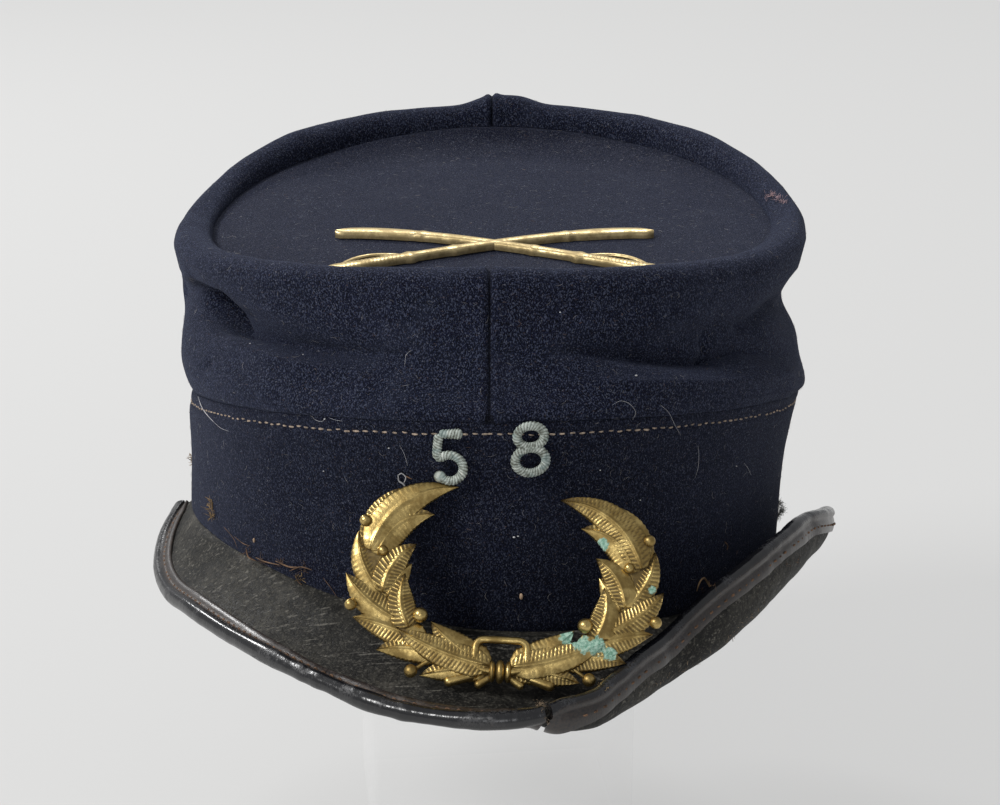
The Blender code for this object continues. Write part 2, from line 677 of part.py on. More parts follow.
def united(name, meshes, mat, place, solver="EXACT"):
    """One solid from overlapping meshes, joined by unions one after another and moved to its place."""
    meshes = [triangulated(mesh) for mesh in meshes]
    mesh = meshes[0]
    for other in meshes[1:]:
        base = add_object(name, mesh, mat)
        piece = add_object(name + "_piece", other, mat, CUTTERS)
        piece.hide_render = True
        piece.display_type = "WIRE"
        join = base.modifiers.new("union", "BOOLEAN")
        join.operation = "UNION"
        join.object = piece
        join.solver = solver
        bpy.context.view_layer.update()
        mesh = evaluated_copy(base, name)
        bpy.data.objects.remove(base, do_unlink=True)
        bpy.data.objects.remove(piece, do_unlink=True)
    mesh = without_pockets(mesh)
    mesh.transform(place)
    obj = add_object(name, mesh, mat)
    smooth_shading(obj)
    return obj


def leaf_mesh(name, base, tip, width, bow, thickness, lift):
    """A pointed leaf with a raised rib, bent along a quadratic line from base to tip."""
    bm = bmesh.new()
    bmesh.ops.create_uvsphere(bm, u_segments=5, v_segments=5, radius=1.0, matrix=Matrix.Rotation(math.pi / 2, 4, "Y"))
    base = Vector(base)
    tip = Vector(tip)
    length = (tip - base).length
    side = Vector((-(tip - base).y, (tip - base).x)) / length
    middle = (base + tip) / 2 + side * bow * length * 2
    for vert in bm.verts:
        t = (vert.co.x + 1) / 2
        spine = base * (1 - t) ** 2 + middle * 2 * t * (1 - t) + tip * t * t
        along = ((middle - base) * (1 - t) + (tip - middle) * t).normalized()
        across = Vector((-along.y, along.x))
        taper = (1.25 - 0.7 * t) if t > 0.35 else 1.0
        offset = vert.co.y * width / 2 * taper
        height = vert.co.z * thickness / 2 * (1.0 if vert.co.z > 0 else 0.6)
        vert.co = Vector((spine.x + across.x * offset, spine.y + across.y * offset, height + lift))
    mesh = bpy.data.meshes.new(name)
    bm.to_mesh(mesh)
    bm.free()
    return mesh


def ball_mesh(name, place, diameter, segments=6, rings=4):
    """A round berry or bead."""
    bm = bmesh.new()
    bmesh.ops.create_uvsphere(bm, u_segments=segments, v_segments=rings, radius=diameter / 2,
                              matrix=Matrix.Translation(place))
    mesh = bpy.data.meshes.new(name)
    bm.to_mesh(mesh)
    bm.free()
    return mesh


def wreath_place(pair, hand):
    """A chart place in metres on the badge's own plane; hand is 1 on the charted half, -1 on its mirror."""
    height = WREATH_HEIGHT * (1.0 if hand > 0 else WREATH_DROOP)
    return hand * pair[0] * WREATH_WIDTH, pair[1] * height


def build_wreath(mat):
    """The cast wreath, flat in its own plane, then turned and leaned against the band."""
    meshes = []
    knot = ball_mesh("knot", (0.0, 0.0, 0.0), 1.0, 10, 6)
    knot.transform(Matrix.Diagonal((KNOT_WIDTH, KNOT_DIAMETER, KNOT_DIAMETER * 0.8, 1.0)))
    meshes.append(knot)
    half_span = LOOP_WIDTH / 2
    loop = []
    for i in range(9):
        turn = math.pi * i / 8
        loop.append((half_span * math.cos(turn), LOOP_HEIGHT * 0.45 + LOOP_HEIGHT * 0.5 * math.sin(turn), 0.0))
    loop = [(half_span * 0.3, 0.0, 0.0)] + loop + [(-half_span * 0.3, 0.0, 0.0)]
    meshes.append(curve_mesh("loop", loop, LOOP_WIRE / 2))
    for hand in (1, -1):
        stem = [(*wreath_place(pair, hand), 0.0) for pair in STEM]
        meshes.append(curve_mesh("stem", stem, LEAF_THICKNESS * 0.42, resolution=0))
        for i, leaf in enumerate(LEAVES):
            meshes.append(leaf_mesh(f"leaf_{i}", wreath_place(leaf["base"], hand), wreath_place(leaf["tip"], hand),
                                    leaf["width"] * LEAF_WIDTH, hand * leaf["bow"], LEAF_THICKNESS,
                                    leaf["lift"] * LEAF_THICKNESS))
        for stalk in STALKS:
            ends = [(*wreath_place(stalk[end], hand), 0.0) for end in ("base", "tip")]
            meshes.append(curve_mesh("stalk", ends, stalk["width"] * LEAF_WIDTH / 2, resolution=0))
        for berry in BERRIES:
            ends = [(*wreath_place(berry[end], hand), 0.0) for end in ("root", "at")]
            meshes.append(curve_mesh("berry_stalk", ends, BERRY_STALK / 2, resolution=0))
            meshes.append(ball_mesh("berry", ends[1], berry["size"] * BERRY_DIAMETER))
    lean = Matrix.Rotation(math.radians(90.0 - WREATH_LEAN), 4, "X")
    turn = Matrix.Rotation(math.radians(WREATH_TURN), 4, "Z")
    knot_place = Vector((WREATH_OFFSET, -BAND_HALF_LENGTH - WREATH_REACH, band_foot(0.0) + WREATH_LIFT))
    place = Matrix.Translation(knot_place) @ lean @ turn
    return united("wreath", meshes, mat, place, solver="MANIFOLD")


def numeral_place(x, height):
    """Turn and place of a numeral that lies flat on the band's front."""
    angle = math.degrees(math.asin(x / BAND_HALF_WIDTH))
    _, y = on_plan(angle, 0.0, 0.0)
    out = outward(angle, BAND_HALF_WIDTH, BAND_HALF_LENGTH)
    place = Vector((x, y, height)) + out * (NUMERAL_STANDOFF + NUMERAL_THICKNESS / 2)
    facing = Matrix.Rotation(math.atan2(out.x, -out.y), 4, "Z")
    return Matrix.Translation(place) @ facing @ Matrix.Rotation(math.radians(90.0), 4, "X")


def flattened(mesh):
    """Press a round stroke down to the numerals' thickness."""
    mesh.transform(Matrix.Diagonal((1.0, 1.0, NUMERAL_THICKNESS / NUMERAL_STROKE, 1.0)))
    return mesh


def build_eight(mat):
    """Two rings, the lower one larger."""
    unit = NUMERAL_HEIGHT
    meshes = []
    for centre, wide, tall in ((0.235, 0.235, 0.19), (-0.205, 0.265, 0.225)):
        points = []
        for i in range(14):
            turn = 2 * math.pi * i / 14
            points.append((unit * wide * math.cos(turn), unit * (centre + tall * math.sin(turn)), 0.0))
        meshes.append(flattened(curve_mesh("ring", points, NUMERAL_STROKE / 2, cyclic=True)))
    return united("numeral_8", meshes, mat, numeral_place(NUMERAL_SPACING / 2, band_top(0.0) - 0.0062))


def build_five(mat):
    """A flag, a stem and an open bowl that ends in a ball."""
    unit = NUMERAL_HEIGHT
    points = [(0.25, 0.44), (-0.16, 0.42), (-0.20, 0.04)]
    for i in range(11):
        turn = math.radians(135.0 - 270.0 * i / 10)
        points.append((0.02 + 0.235 * math.cos(turn), -0.19 + 0.235 * math.sin(turn)))
    points = [(unit * x, unit * y, 0.0) for x, y in points]
    meshes = [flattened(curve_mesh("stroke", points, NUMERAL_STROKE / 2)),
              flattened(ball_mesh("end", points[-1], NUMERAL_STROKE * 1.35))]
    return united("numeral_5", meshes, mat, numeral_place(-NUMERAL_SPACING / 2, band_top(0.0) - 0.0082))


def sabre_mesh(side):
    """One sabre from its scabbard's tip to its hilt, bowed to the back; the hilt is on the given side."""
    tip = Vector((-side * SABRE_LENGTH / 2, SABRE_SPREAD / 2))
    hilt = Vector((side * SABRE_LENGTH / 2, -SABRE_SPREAD / 2))
    along = (hilt - tip).normalized()
    across = Vector((-along.y, along.x)) * side
    points = []
    widths = []
    for share, width in SABRE_WIDTHS:
        bow = SABRE_BOW * 4 * share * (1 - share)
        points.append(tip + (hilt - tip) * share + across * bow)
        widths.append(width * SABRE_WIDTH / 2)
    half = SABRE_THICKNESS / 2
    rows = []
    for point, width in zip(points, widths):
        row = []
        for s, h in ((-1.0, -1.0), (-1.0, 0.2), (-0.45, 1.0), (0.45, 1.0), (1.0, 0.2), (1.0, -1.0)):
            row.append(Vector((point.x + across.x * s * width, point.y + across.y * s * width, h * half)))
        rows.append(row)
    bm = bmesh.new()
    grid = [[bm.verts.new(point) for point in row] for row in rows]
    for lower, upper in zip(grid, grid[1:]):
        for i in range(6):
            j = (i + 1) % 6
            bm.faces.new([lower[i], lower[j], upper[j], upper[i]])
    bm.faces.new(grid[0])
    bm.faces.new(grid[-1])
    bmesh.ops.recalc_face_normals(bm, faces=bm.faces)
    mesh = bpy.data.meshes.new("sabre")
    bm.to_mesh(mesh)
    bm.free()
    return mesh, points, across


def build_sabres(mat):
    """Two crossed sabres stamped from one sheet, with a wire guard at each hilt."""
    meshes = []
    for side in (1, -1):
        mesh, points, across = sabre_mesh(side)
        meshes.append(mesh)
        start = points[-5]
        end = points[-2]
        bulge = (start + end) / 2 - across * SABRE_WIDTH * 1.25
        guard = []
        for i in range(7):
            t = i / 6
            place = start * (1 - t) ** 2 + bulge * 2 * t * (1 - t) + end * t * t
            guard.append((place.x, place.y, -SABRE_THICKNESS * 0.15))
        meshes.append(curve_mesh("guard", guard, GUARD_WIRE / 2))
    height = TIP_TOP + SABRE_REST + SABRE_THICKNESS / 2
    return united("crossed_sabres", meshes, mat, Matrix.Translation((SABRE_OFFSET, -SABRE_FORWARD, height)))


def main():
    clear_scene()
    wool = material("wool", (0.012, 0.014, 0.030), 0.95)
    band_wool = material("band_wool", (0.011, 0.013, 0.027), 0.95)
    tip_wool = material("tip_wool", (0.016, 0.017, 0.030), 0.95)
    leather = material("leather", (0.045, 0.044, 0.040), 0.65)
    binding = material("binding_leather", (0.012, 0.012, 0.014), 0.35)
    brass = material("brass", (0.55, 0.40, 0.17), 0.38, metallic=1.0)
    verdigris = material("tarnished_brass", (0.30, 0.36, 0.33), 0.6, metallic=0.4)
    clear = material("clear_plastic", (0.95, 0.96, 0.97), 0.05, transmission=1.0)
    build_stand(clear)
    build_band(band_wool)
    build_crown_half("crown_left", -1, wool)
    build_crown_half("crown_right", 1, wool)
    build_tip(tip_wool)
    build_peak(leather)
    build_binding("binding_left", PEAK_START + BINDING_SETBACK, CRACK_ANGLE - CRACK_GAP / 2, binding)
    build_binding("binding_right", CRACK_ANGLE + CRACK_GAP / 2, PEAK_END - BINDING_SETBACK, binding)
    build_wreath(brass)
    build_five(verdigris)
    build_eight(verdigris)
    build_sabres(brass)


main()
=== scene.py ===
import math
import random

import bpy
import numpy as np
from mathutils import Matrix, Vector
from mathutils.bvhtree import BVHTree


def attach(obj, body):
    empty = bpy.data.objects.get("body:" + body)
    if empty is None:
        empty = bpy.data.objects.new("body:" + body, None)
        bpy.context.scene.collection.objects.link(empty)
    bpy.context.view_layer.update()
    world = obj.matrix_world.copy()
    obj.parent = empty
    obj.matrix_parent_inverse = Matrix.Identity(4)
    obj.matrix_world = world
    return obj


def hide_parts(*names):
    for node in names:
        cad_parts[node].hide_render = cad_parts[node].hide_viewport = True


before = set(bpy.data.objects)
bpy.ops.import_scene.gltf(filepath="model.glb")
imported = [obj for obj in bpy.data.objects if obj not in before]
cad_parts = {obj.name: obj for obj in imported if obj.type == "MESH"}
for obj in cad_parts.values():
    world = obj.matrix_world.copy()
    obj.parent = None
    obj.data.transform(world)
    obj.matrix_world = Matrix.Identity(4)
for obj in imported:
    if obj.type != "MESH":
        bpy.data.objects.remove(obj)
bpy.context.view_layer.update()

scene = bpy.context.scene
random.seed(58)
rng = np.random.default_rng(58)


def table(keys, *rows):
    """Rows of values as dictionaries with the same keys."""
    return [dict(zip(keys.split(), row)) for row in rows]


# ---- Camera: an 85 mm lens, 20 degrees above the cap
LENS = 85.0
SENSOR = 36.0
WIDE, HIGH = 1000, 805
AIM = Vector((0.0024, 0.0, 0.128))
DISTANCE = 0.640
ELEVATION = math.radians(20.0)
EYE = AIM + Vector((0.0, -math.cos(ELEVATION), math.sin(ELEVATION))) * DISTANCE

# ---- Sizes of the cap, as in the solids
STAND_HEIGHT = 0.1778
BAND_HALF_WIDTH = 0.0815
BAND_HALF_LENGTH = 0.098
RIM_HALF_WIDTH = 0.0828
RIM_HALF_LENGTH = 0.088
BAND_DEPTH = 0.052
BAND_TOP_DROP = 0.0443
BAND_TOP_SLOPE = 0.0253
CROWN_RISE = 0.0868
RIM_ROLL = 0.0095
RIM_LEG = 0.0008
SEAM_PEAK = 0.0027
FOLD_DEPTH = 0.010
PEAK_REACH = 0.042
TIP_DISH = 0.0055
TIP_FLAT = 0.72
TIP_SHELF = 0.972
BAND_WALL = 0.0026
CROWN_WALL = 0.0020
TIP_WALL = 0.0019
BINDING_BEAD = 0.0023
BINDING_WIDTH = 0.0062
CLEARANCE = 0.0003
TIP_TOP = STAND_HEIGHT + CLEARANCE + TIP_WALL

# ---- Sizes that only the scene has
# The double lobe of the rim at the back seam: the block and the notch in it, in degrees, and the notch's depth.
LOBE_ANGLE = 178.2
LOBE_WIDTH = 7.6
LOBE_SQUARENESS = 3.6
NOTCH_ANGLE = 184.6
NOTCH_WIDTH = 3.4
NOTCH_DEPTH = 0.0006
# The crown's seams, whose edges turn in and cross, and its hem behind the band's edge.
SEAM_TOUCH = 0.00004
SEAM_STRIP = 0.0017
SEAM_CROSS = 0.0004
HEM_TUCK = 0.0020
HEM_CURL = 0.0004
# Thread.
STITCH_DROP = 0.0030
STITCH_PITCH = 0.00240
STITCH_LENGTH = 0.00165
STITCH_RADIUS = 0.00023
STITCH_LIFT = 0.00012
PEAK_STITCH_PITCH = 0.00265
PEAK_STITCH_LENGTH = 0.0014
PEAK_STITCH_RADIUS = 0.00026
THREAD_END = 0.25
# The peak's leather as it shows, skived thinner than the solid, and the half height of the binding's bead.
SKIN = 0.0016
ROLL = 0.0019
# The floor lies this far under the foot of the stand, so that the two faces don't meet.
FLOOR_DROP = 0.0003
# Steps of the meshes, in metres, degrees or points, and the distance at which their points merge.
PEAK_STRIDE = 0.0010
BINDING_STRIDE = 0.00038
CROWN_STEP = 0.9
CROWN_ROWS = 62
RIM_ROWS = 19
RIM_INNER_ROWS = 20
BAND_COLUMNS = 481
BAND_ROWS = 26
BAND_MEAN_RADIUS = 0.0895
TIP_COLUMNS = 241
DOUBLES = 0.00002
CAST_DOUBLES = 0.000005
# The cloth takes these shares of the solid's walls.
CLOTH_SHARE = 0.9
TIP_SHARE = 0.95

# ---- Sizes of the badges
WREATH_WIDTH = 0.073
WREATH_HEIGHT = 0.045
WREATH_LEAN = 35.0
WREATH_TURN = -3.0
WREATH_DROOP = 0.955
WREATH_OFFSET = 0.0024
WREATH_REACH = 0.0244
WREATH_LIFT = 0.0012
LEAF_WIDTH = 0.0059
LEAF_THICKNESS = 0.0024
BERRY_DIAMETER = 0.0028
BERRY_STALK = 0.0011
KNOT_DIAMETER = 0.0055
LOOP_WIRE = 0.0016
LOOP_WIDTH = 0.0120
LOOP_HEIGHT = 0.0074
LOOP_BEND = 0.0019
NUMERAL_HEIGHT = 0.0135
NUMERAL_STROKE = 0.0022
NUMERAL_THICKNESS = 0.0013
NUMERAL_SPACING = 0.0184
NUMERAL_STANDOFF = 0.0008
EIGHT_DROP = 0.0062
FIVE_DROP = 0.0082
RIB_PITCH = 0.00070
SABRE_LENGTH = 0.081
SABRE_SPREAD = 0.0320
SABRE_BOW = 0.0068
SABRE_WIDTH = 0.0030
SABRE_THICKNESS = 0.0016
SABRE_POINTS = 260
SABRE_RINGS = (0.245, 0.60, 0.745)
SABRE_GRIP = (0.77, 0.96)
GUARD_ENDS = (0.74, 0.97)
GUARD_WIRE = 0.0009
SABRE_OFFSET = 0.001
SABRE_FORWARD = 0.0375
SABRE_REST = 0.0008

# ---- Charts of the cap, as in the solids
# The cap at eight places round it. Heights and insets are shares.
PLACES = table(
    "angle rise depth tip_edge foot_inset edge_height "
    "edge_inset bulge_height bulge_inset valley_height valley_inset neck_height neck_inset",
    (0.0, 0.371, 1.0, 0.73, 0.0, 0.0, 0.0, 0.1, 0.0, 0.25, 0.15, 0.7, 0.05),
    (50.0, 0.412, 0.97, 0.0, 0.12, 0.0, 0.0, 0.13, -0.05, 0.5, 0.45, 0.74, 0.1),
    (90.0, 0.565, 0.8, -0.25, 0.42, 0.0, -0.08, 0.08, -0.3, 0.54, 0.7, 0.8, 0.12),
    (135.0, 0.862, 0.67, 0.48, 0.2, 0.0, 0.0, 0.13, -0.18, 0.55, 0.52, 0.83, 0.11),
    (180.0, 0.964, 0.59, 1.0, 0.0, 0.0, 0.0, 0.2, -0.05, 0.55, 0.3, 0.84, 0.1),
    (225.0, 0.842, 0.58, 0.28, 0.0, 0.0, 0.12, 0.3, -0.1, 0.56, 0.23, 0.83, 0.1),
    (270.0, 0.536, 0.625, -0.6, 0.0, 0.0, 0.19, 0.36, -0.18, 0.57, 0.25, 0.8, 0.1),
    (310.0, 0.404, 0.73, -0.15, 0.0, 0.0, 0.05, 0.18, -0.1, 0.52, 0.5, 0.75, 0.1),
)
CROWN_RINGS = table(
    "ring blend",
    ("edge", 0.0), ("bulge", 0.0), ("valley", 0.5), ("neck", 1.0),
)
CROWN_DENTS = table(
    "angle height wide tall depth",
    (-57.0, 0.56, 11.0, 0.12, 0.45), (43.0, 0.50, 13.0, 0.09, 0.22),
)
PEAK_SECTIONS = table(
    "angle mid_reach mid_rise edge_reach edge_rise",
    (-90.0, 0.02, -0.01, 0.03, 0.0), (-80.0, 0.08, -0.087, 0.147, -0.112), (-70.0, 0.13, -0.163, 0.243, -0.233),
    (-60.0, 0.16, -0.19, 0.3, -0.285), (-50.0, 0.18, -0.177, 0.333, -0.263),
    (-40.0, 0.22, -0.163, 0.387, -0.242), (-30.0, 0.27, -0.14, 0.5, -0.18), (-20.0, 0.36, -0.117, 0.65, -0.13),
    (-10.0, 0.45, -0.094, 0.82, -0.1), (0.0, 0.52, -0.092, 0.93, -0.05), (4.0, 0.58, -0.13, 0.92, -0.03),
    (7.0, 0.74, -0.14, 0.891, -0.015), (10.7, 0.69, -0.17, 0.814, 0.0), (12.7, 0.63, -0.18, 0.736, 0.02),
    (17.5, 0.52, -0.179, 0.58, 0.07), (24.0, 0.4, -0.14, 0.415, 0.11), (31.0, 0.36, -0.067, 0.351, 0.25),
    (40.0, 0.31, 0.036, 0.298, 0.35), (50.0, 0.26, 0.13, 0.266, 0.43), (60.0, 0.25, 0.19, 0.248, 0.43),
    (70.0, 0.26, 0.16, 0.3, 0.345), (80.0, 0.21, 0.075, 0.28, 0.22), (86.0, 0.12, 0.028, 0.212, 0.1),
)
PEAK_START = -88.0
PEAK_END = 84.0
CRACK_ANGLE = 5.6
CRACK_GAP = 0.6
BINDING_SETBACK = 1.0

# ---- Charts of the badges
LEAVES = table(
    "tip base width bow lift",
    ((-0.162, 0.932), (-0.425, 0.585), 1.00, 0.17, 0.35), ((-0.329, 0.919), (-0.430, 0.610), 0.70, 0.13, 0.0),
    ((-0.232, 0.785), (-0.400, 0.560), 0.95, 0.19, 0.15), ((-0.466, 0.681), (-0.380, 0.370), 0.75, 0.10, 0.0),
    ((-0.281, 0.626), (-0.378, 0.370), 0.85, 0.13, 0.25), ((-0.293, 0.526), (-0.365, 0.345), 0.70, 0.05, 0.0),
    ((-0.496, 0.462), (-0.330, 0.240), 0.85, 0.07, 0.1), ((-0.310, 0.472), (-0.290, 0.200), 0.85, 0.12, 0.3),
    ((-0.466, 0.238), (-0.235, 0.120), 0.90, -0.04, 0.05), ((-0.386, 0.079), (-0.185, 0.075), 0.85, -0.07, 0.0),
    ((-0.329, 0.194), (-0.032, 0.023), 0.90, 0.05, 0.45), ((-0.222, 0.234), (-0.032, 0.032), 0.90, 0.07, 0.25),
    ((-0.247, -0.040), (-0.032, 0.017), 0.80, -0.04, 0.15),
)
STALKS = table(
    "tip base width",
    ((-0.171, -0.070), (-0.025, 0.006), 0.42), ((-0.075, -0.081), (-0.020, -0.018), 0.34),
)
BERRIES = table(
    "at root size",
    ((-0.445, 0.734), (-0.405, 0.56), 1.0), ((-0.385, 0.583), (-0.402, 0.51), 0.85),
    ((-0.474, 0.298), (-0.345, 0.27), 1.0), ((-0.256, 0.262), (-0.300, 0.17), 1.25),
    ((-0.275, -0.023), (-0.185, 0.080), 1.1),
)
STEM = ((-0.03, 0.015), (-0.16, 0.06), (-0.25, 0.14), (-0.325, 0.25), (-0.37, 0.38), (-0.40, 0.51), (-0.41, 0.63))
# Width of the sabre along its length, from the point to the pommel.
SABRE_WIDTHS = (
    (0.0, 0.9), (0.03, 1.25), (0.10, 1.35), (0.20, 1.25), (0.23, 1.0), (0.245, 1.2), (0.26, 1.0), (0.40, 0.95),
    (0.58, 0.85), (0.60, 1.15), (0.62, 0.85), (0.72, 0.8), (0.74, 1.35), (0.765, 0.9), (0.88, 1.0), (0.97, 1.15),
    (1.0, 0.7),
)


# ---- Working by hand: picking, adding, shaping
def deselect():
    """Nothing picked, object mode."""
    if bpy.context.object and bpy.context.object.mode != "OBJECT":
        bpy.ops.object.mode_set(mode="OBJECT")
    bpy.ops.object.select_all(action="DESELECT")


def pick(*objs):
    """Only these objects picked, the first one active."""
    deselect()
    for obj in objs:
        obj.select_set(True)
    bpy.context.view_layer.objects.active = objs[0]


def named(obj, name):
    """Give an object and its mesh a name."""
    obj.name = name
    obj.data.name = name
    return obj


def apply_place(obj):
    """Move an object's place into its mesh."""
    pick(obj)
    bpy.ops.object.transform_apply(location=True, rotation=True, scale=True)
    return obj


def walled(obj, thickness):
    """A wall on the inner side of a sheet, applied."""
    pick(obj)
    wall = obj.modifiers.new("wall", "SOLIDIFY")
    wall.thickness = thickness
    wall.offset = -1.0
    bpy.ops.object.modifier_apply(modifier=wall.name)
    return obj


def joined(name, objs):
    """Several objects as one piece."""
    pick(*objs)
    if len(objs) > 1:
        bpy.ops.object.join()
    return named(bpy.context.object, name)


def merged(obj, distance, filled=False):
    """Doubles merged, holes filled if asked, and normals made consistent, pointing out."""
    pick(obj)
    bpy.ops.object.mode_set(mode="EDIT")
    bpy.ops.mesh.select_all(action="SELECT")
    bpy.ops.mesh.remove_doubles(threshold=distance)
    if filled:
        bpy.ops.mesh.fill_holes(sides=0)
    bpy.ops.mesh.normals_make_consistent(inside=False)
    bpy.ops.object.mode_set(mode="OBJECT")
    return obj


def smooth(obj, angle=None):
    """Shade smooth, all over or up to an angle."""
    pick(obj)
    if angle is None:
        bpy.ops.object.shade_smooth()
    else:
        bpy.ops.object.shade_smooth_by_angle(angle=math.radians(angle))
    return obj


def flipped(obj):
    """Turn a sheet's faces over."""
    pick(obj)
    bpy.ops.object.mode_set(mode="EDIT")
    bpy.ops.mesh.select_all(action="SELECT")
    bpy.ops.mesh.flip_normals()
    bpy.ops.object.mode_set(mode="OBJECT")
    return obj


def sheet(name, grid):
    """A grid of faces whose points are laid out as the array says: rows, columns, xyz."""
    rows, columns = grid.shape[:2]
    deselect()
    bpy.ops.mesh.primitive_grid_add(x_subdivisions=columns - 1, y_subdivisions=rows - 1, size=1.0, calc_uvs=True)
    obj = named(bpy.context.object, name)
    obj.data.vertices.foreach_set("co", grid.astype(np.float32).ravel())
    obj.data.update()
    return obj


def facing(obj, away_from):
    """Turn a sheet over if most of it faces the given point."""
    total = 0.0
    for face in obj.data.polygons:
        total += face.area * face.normal.dot(face.center - Vector(away_from))
    return flipped(obj) if total < 0 else obj


def strands(name, lines, radii):
    """Threads and hairs: one thin square bar along each line of points, thinner at its ends."""
    deselect()
    curve = bpy.data.curves.new(name, "CURVE")
    curve.dimensions = "3D"
    curve.bevel_depth = 1.0
    curve.bevel_resolution = 0
    curve.use_fill_caps = True
    for line, width in zip(lines, radii):
        spline = curve.splines.new("POLY")
        spline.points.add(len(line) - 1)
        for k, point in enumerate(line):
            spline.points[k].co = (*point, 1.0)
            share = k / (len(line) - 1)
            middle = math.sin(math.pi * min(max(share, 0.02), 0.98)) ** 0.5
            spline.points[k].radius = width * (THREAD_END + (1 - THREAD_END) * middle)
    obj = bpy.data.objects.new(name, curve)
    scene.collection.objects.link(obj)
    pick(obj)
    bpy.ops.object.convert(target="MESH")
    obj = bpy.context.object
    obj.data.name = name
    return smooth(obj)


# ---- Numbers: smooth curves and smooth noise
def noise(points, scale, seed=0.0):
    """Smooth random values from -1 to 1 at an array of points."""
    p = np.asarray(points, float) * scale + seed * 17.31
    cell = np.floor(p).astype(np.int64)
    f = p - cell
    f = f * f * (3 - 2 * f)

    def corner(dx, dy, dz):
        n = (cell[..., 0] + dx) * 374761393 + (cell[..., 1] + dy) * 668265263 + (cell[..., 2] + dz) * 1442695041
        n = (n ^ (n >> 13)) * 1274126177
        n = n & 0xFFFFFFFF
        n = n ^ (n >> 15)
        return (n & 0xFFFF) / 32767.5 - 1.0

    def mix(a, b, t):
        return a + (b - a) * t

    x, y, z = f[..., 0], f[..., 1], f[..., 2]
    low = mix(mix(corner(0, 0, 0), corner(1, 0, 0), x), mix(corner(0, 1, 0), corner(1, 1, 0), x), y)
    high = mix(mix(corner(0, 0, 1), corner(1, 0, 1), x), mix(corner(0, 1, 1), corner(1, 1, 1), x), y)
    return mix(low, high, z)


def bell(x, width):
    """1 at nought, falling off over the width."""
    return np.exp(-(np.asarray(x) / width) ** 2)


def step_up(x, low, high):
    """0 below low, 1 above high, smooth between."""
    t = np.clip((np.asarray(x) - low) / (high - low), 0.0, 1.0)
    return t * t * (3 - 2 * t)


def cubic(stations, values, x, period=None):
    """Smooth curve through (station, value) pairs, at an array of places."""
    xs = np.asarray(stations, float)
    ys = np.asarray(values, float)
    x = np.asarray(x, float)
    if period:
        x = x % period
        xs = np.concatenate([xs[-2:] - period, xs, xs[:2] + period])
        ys = np.concatenate([ys[-2:], ys, ys[:2]])
    slope = np.empty_like(ys)
    slope[1:-1] = (ys[2:] - ys[:-2]) / (xs[2:] - xs[:-2])
    slope[0] = (ys[1] - ys[0]) / (xs[1] - xs[0])
    slope[-1] = (ys[-1] - ys[-2]) / (xs[-1] - xs[-2])
    i = np.clip(np.searchsorted(xs, x, side="right") - 1, 0, len(xs) - 2)
    span = xs[i + 1] - xs[i]
    t = np.clip((x - xs[i]) / span, 0.0, 1.0)
    t2 = t * t
    t3 = t2 * t
    return ((2 * t3 - 3 * t2 + 1) * ys[i] + (t3 - 2 * t2 + t) * slope[i] * span
            + (3 * t2 - 2 * t3) * ys[i + 1] + (t3 - t2) * slope[i + 1] * span)


def around(column, angle):
    """A value at any angle round the cap from a column of PLACES."""
    return cubic([row["angle"] for row in PLACES], [row[column] for row in PLACES], angle, 360.0)


def on_plan(angle, blend, inset):
    """Points in plan on the oval between the band's and the rim's, inset along both half axes."""
    half_width = BAND_HALF_WIDTH + (RIM_HALF_WIDTH - BAND_HALF_WIDTH) * blend - inset
    half_length = BAND_HALF_LENGTH + (RIM_HALF_LENGTH - BAND_HALF_LENGTH) * blend - inset
    turn = np.radians(angle)
    return half_width * np.sin(turn), -half_length * np.cos(turn)


def band_top(angle):
    return STAND_HEIGHT - BAND_TOP_DROP + BAND_TOP_SLOPE * np.cos(np.radians(angle))


def band_foot(angle):
    return band_top(angle) - BAND_DEPTH * around("depth", angle)


def rim_crest(angle):
    """Top of the rolled rim, with the double lobe where the back seam ends, a little right of the middle."""
    turn = np.asarray(angle) % 360.0
    lobes = SEAM_PEAK * np.exp(-np.abs((turn - LOBE_ANGLE) / LOBE_WIDTH) ** LOBE_SQUARENESS)
    lobes = lobes - NOTCH_DEPTH * bell(turn - NOTCH_ANGLE, NOTCH_WIDTH)
    return band_top(angle) + CROWN_RISE * around("rise", angle) + lobes


def tip_edge(angle):
    return TIP_TOP + TIP_DISH * around("tip_edge", angle)


def surface_normals(grid):
    """Unit normals of a grid of points, along rows crossed with along columns."""
    down = np.gradient(grid, axis=0)
    across = np.gradient(grid, axis=1)
    normal = np.cross(across, down)
    length = np.linalg.norm(normal, axis=2, keepdims=True)
    return normal / np.maximum(length, 1e-12)


# ---- Seeing as the camera does, to place small things on the surfaces
SIGHT = (AIM - EYE).normalized()
SIGHT_RIGHT = Vector((1.0, 0.0, 0.0))
SIGHT_UP = SIGHT_RIGHT.cross(SIGHT)


def line_of_sight(px, py):
    """Direction from the eye through a place in the picture."""
    focal = LENS / SENSOR * WIDE
    return (SIGHT + SIGHT_RIGHT * ((px - WIDE / 2) / focal) - SIGHT_UP * ((py - HIGH / 2) / focal)).normalized()


def in_picture(points):
    """Places in the picture of an array of points."""
    away = points - np.array(EYE)
    depth = away @ np.array(SIGHT)
    focal = LENS / SENSOR * WIDE
    return (WIDE / 2 + focal * (away @ np.array(SIGHT_RIGHT)) / depth,
            HIGH / 2 - focal * (away @ np.array(SIGHT_UP)) / depth)


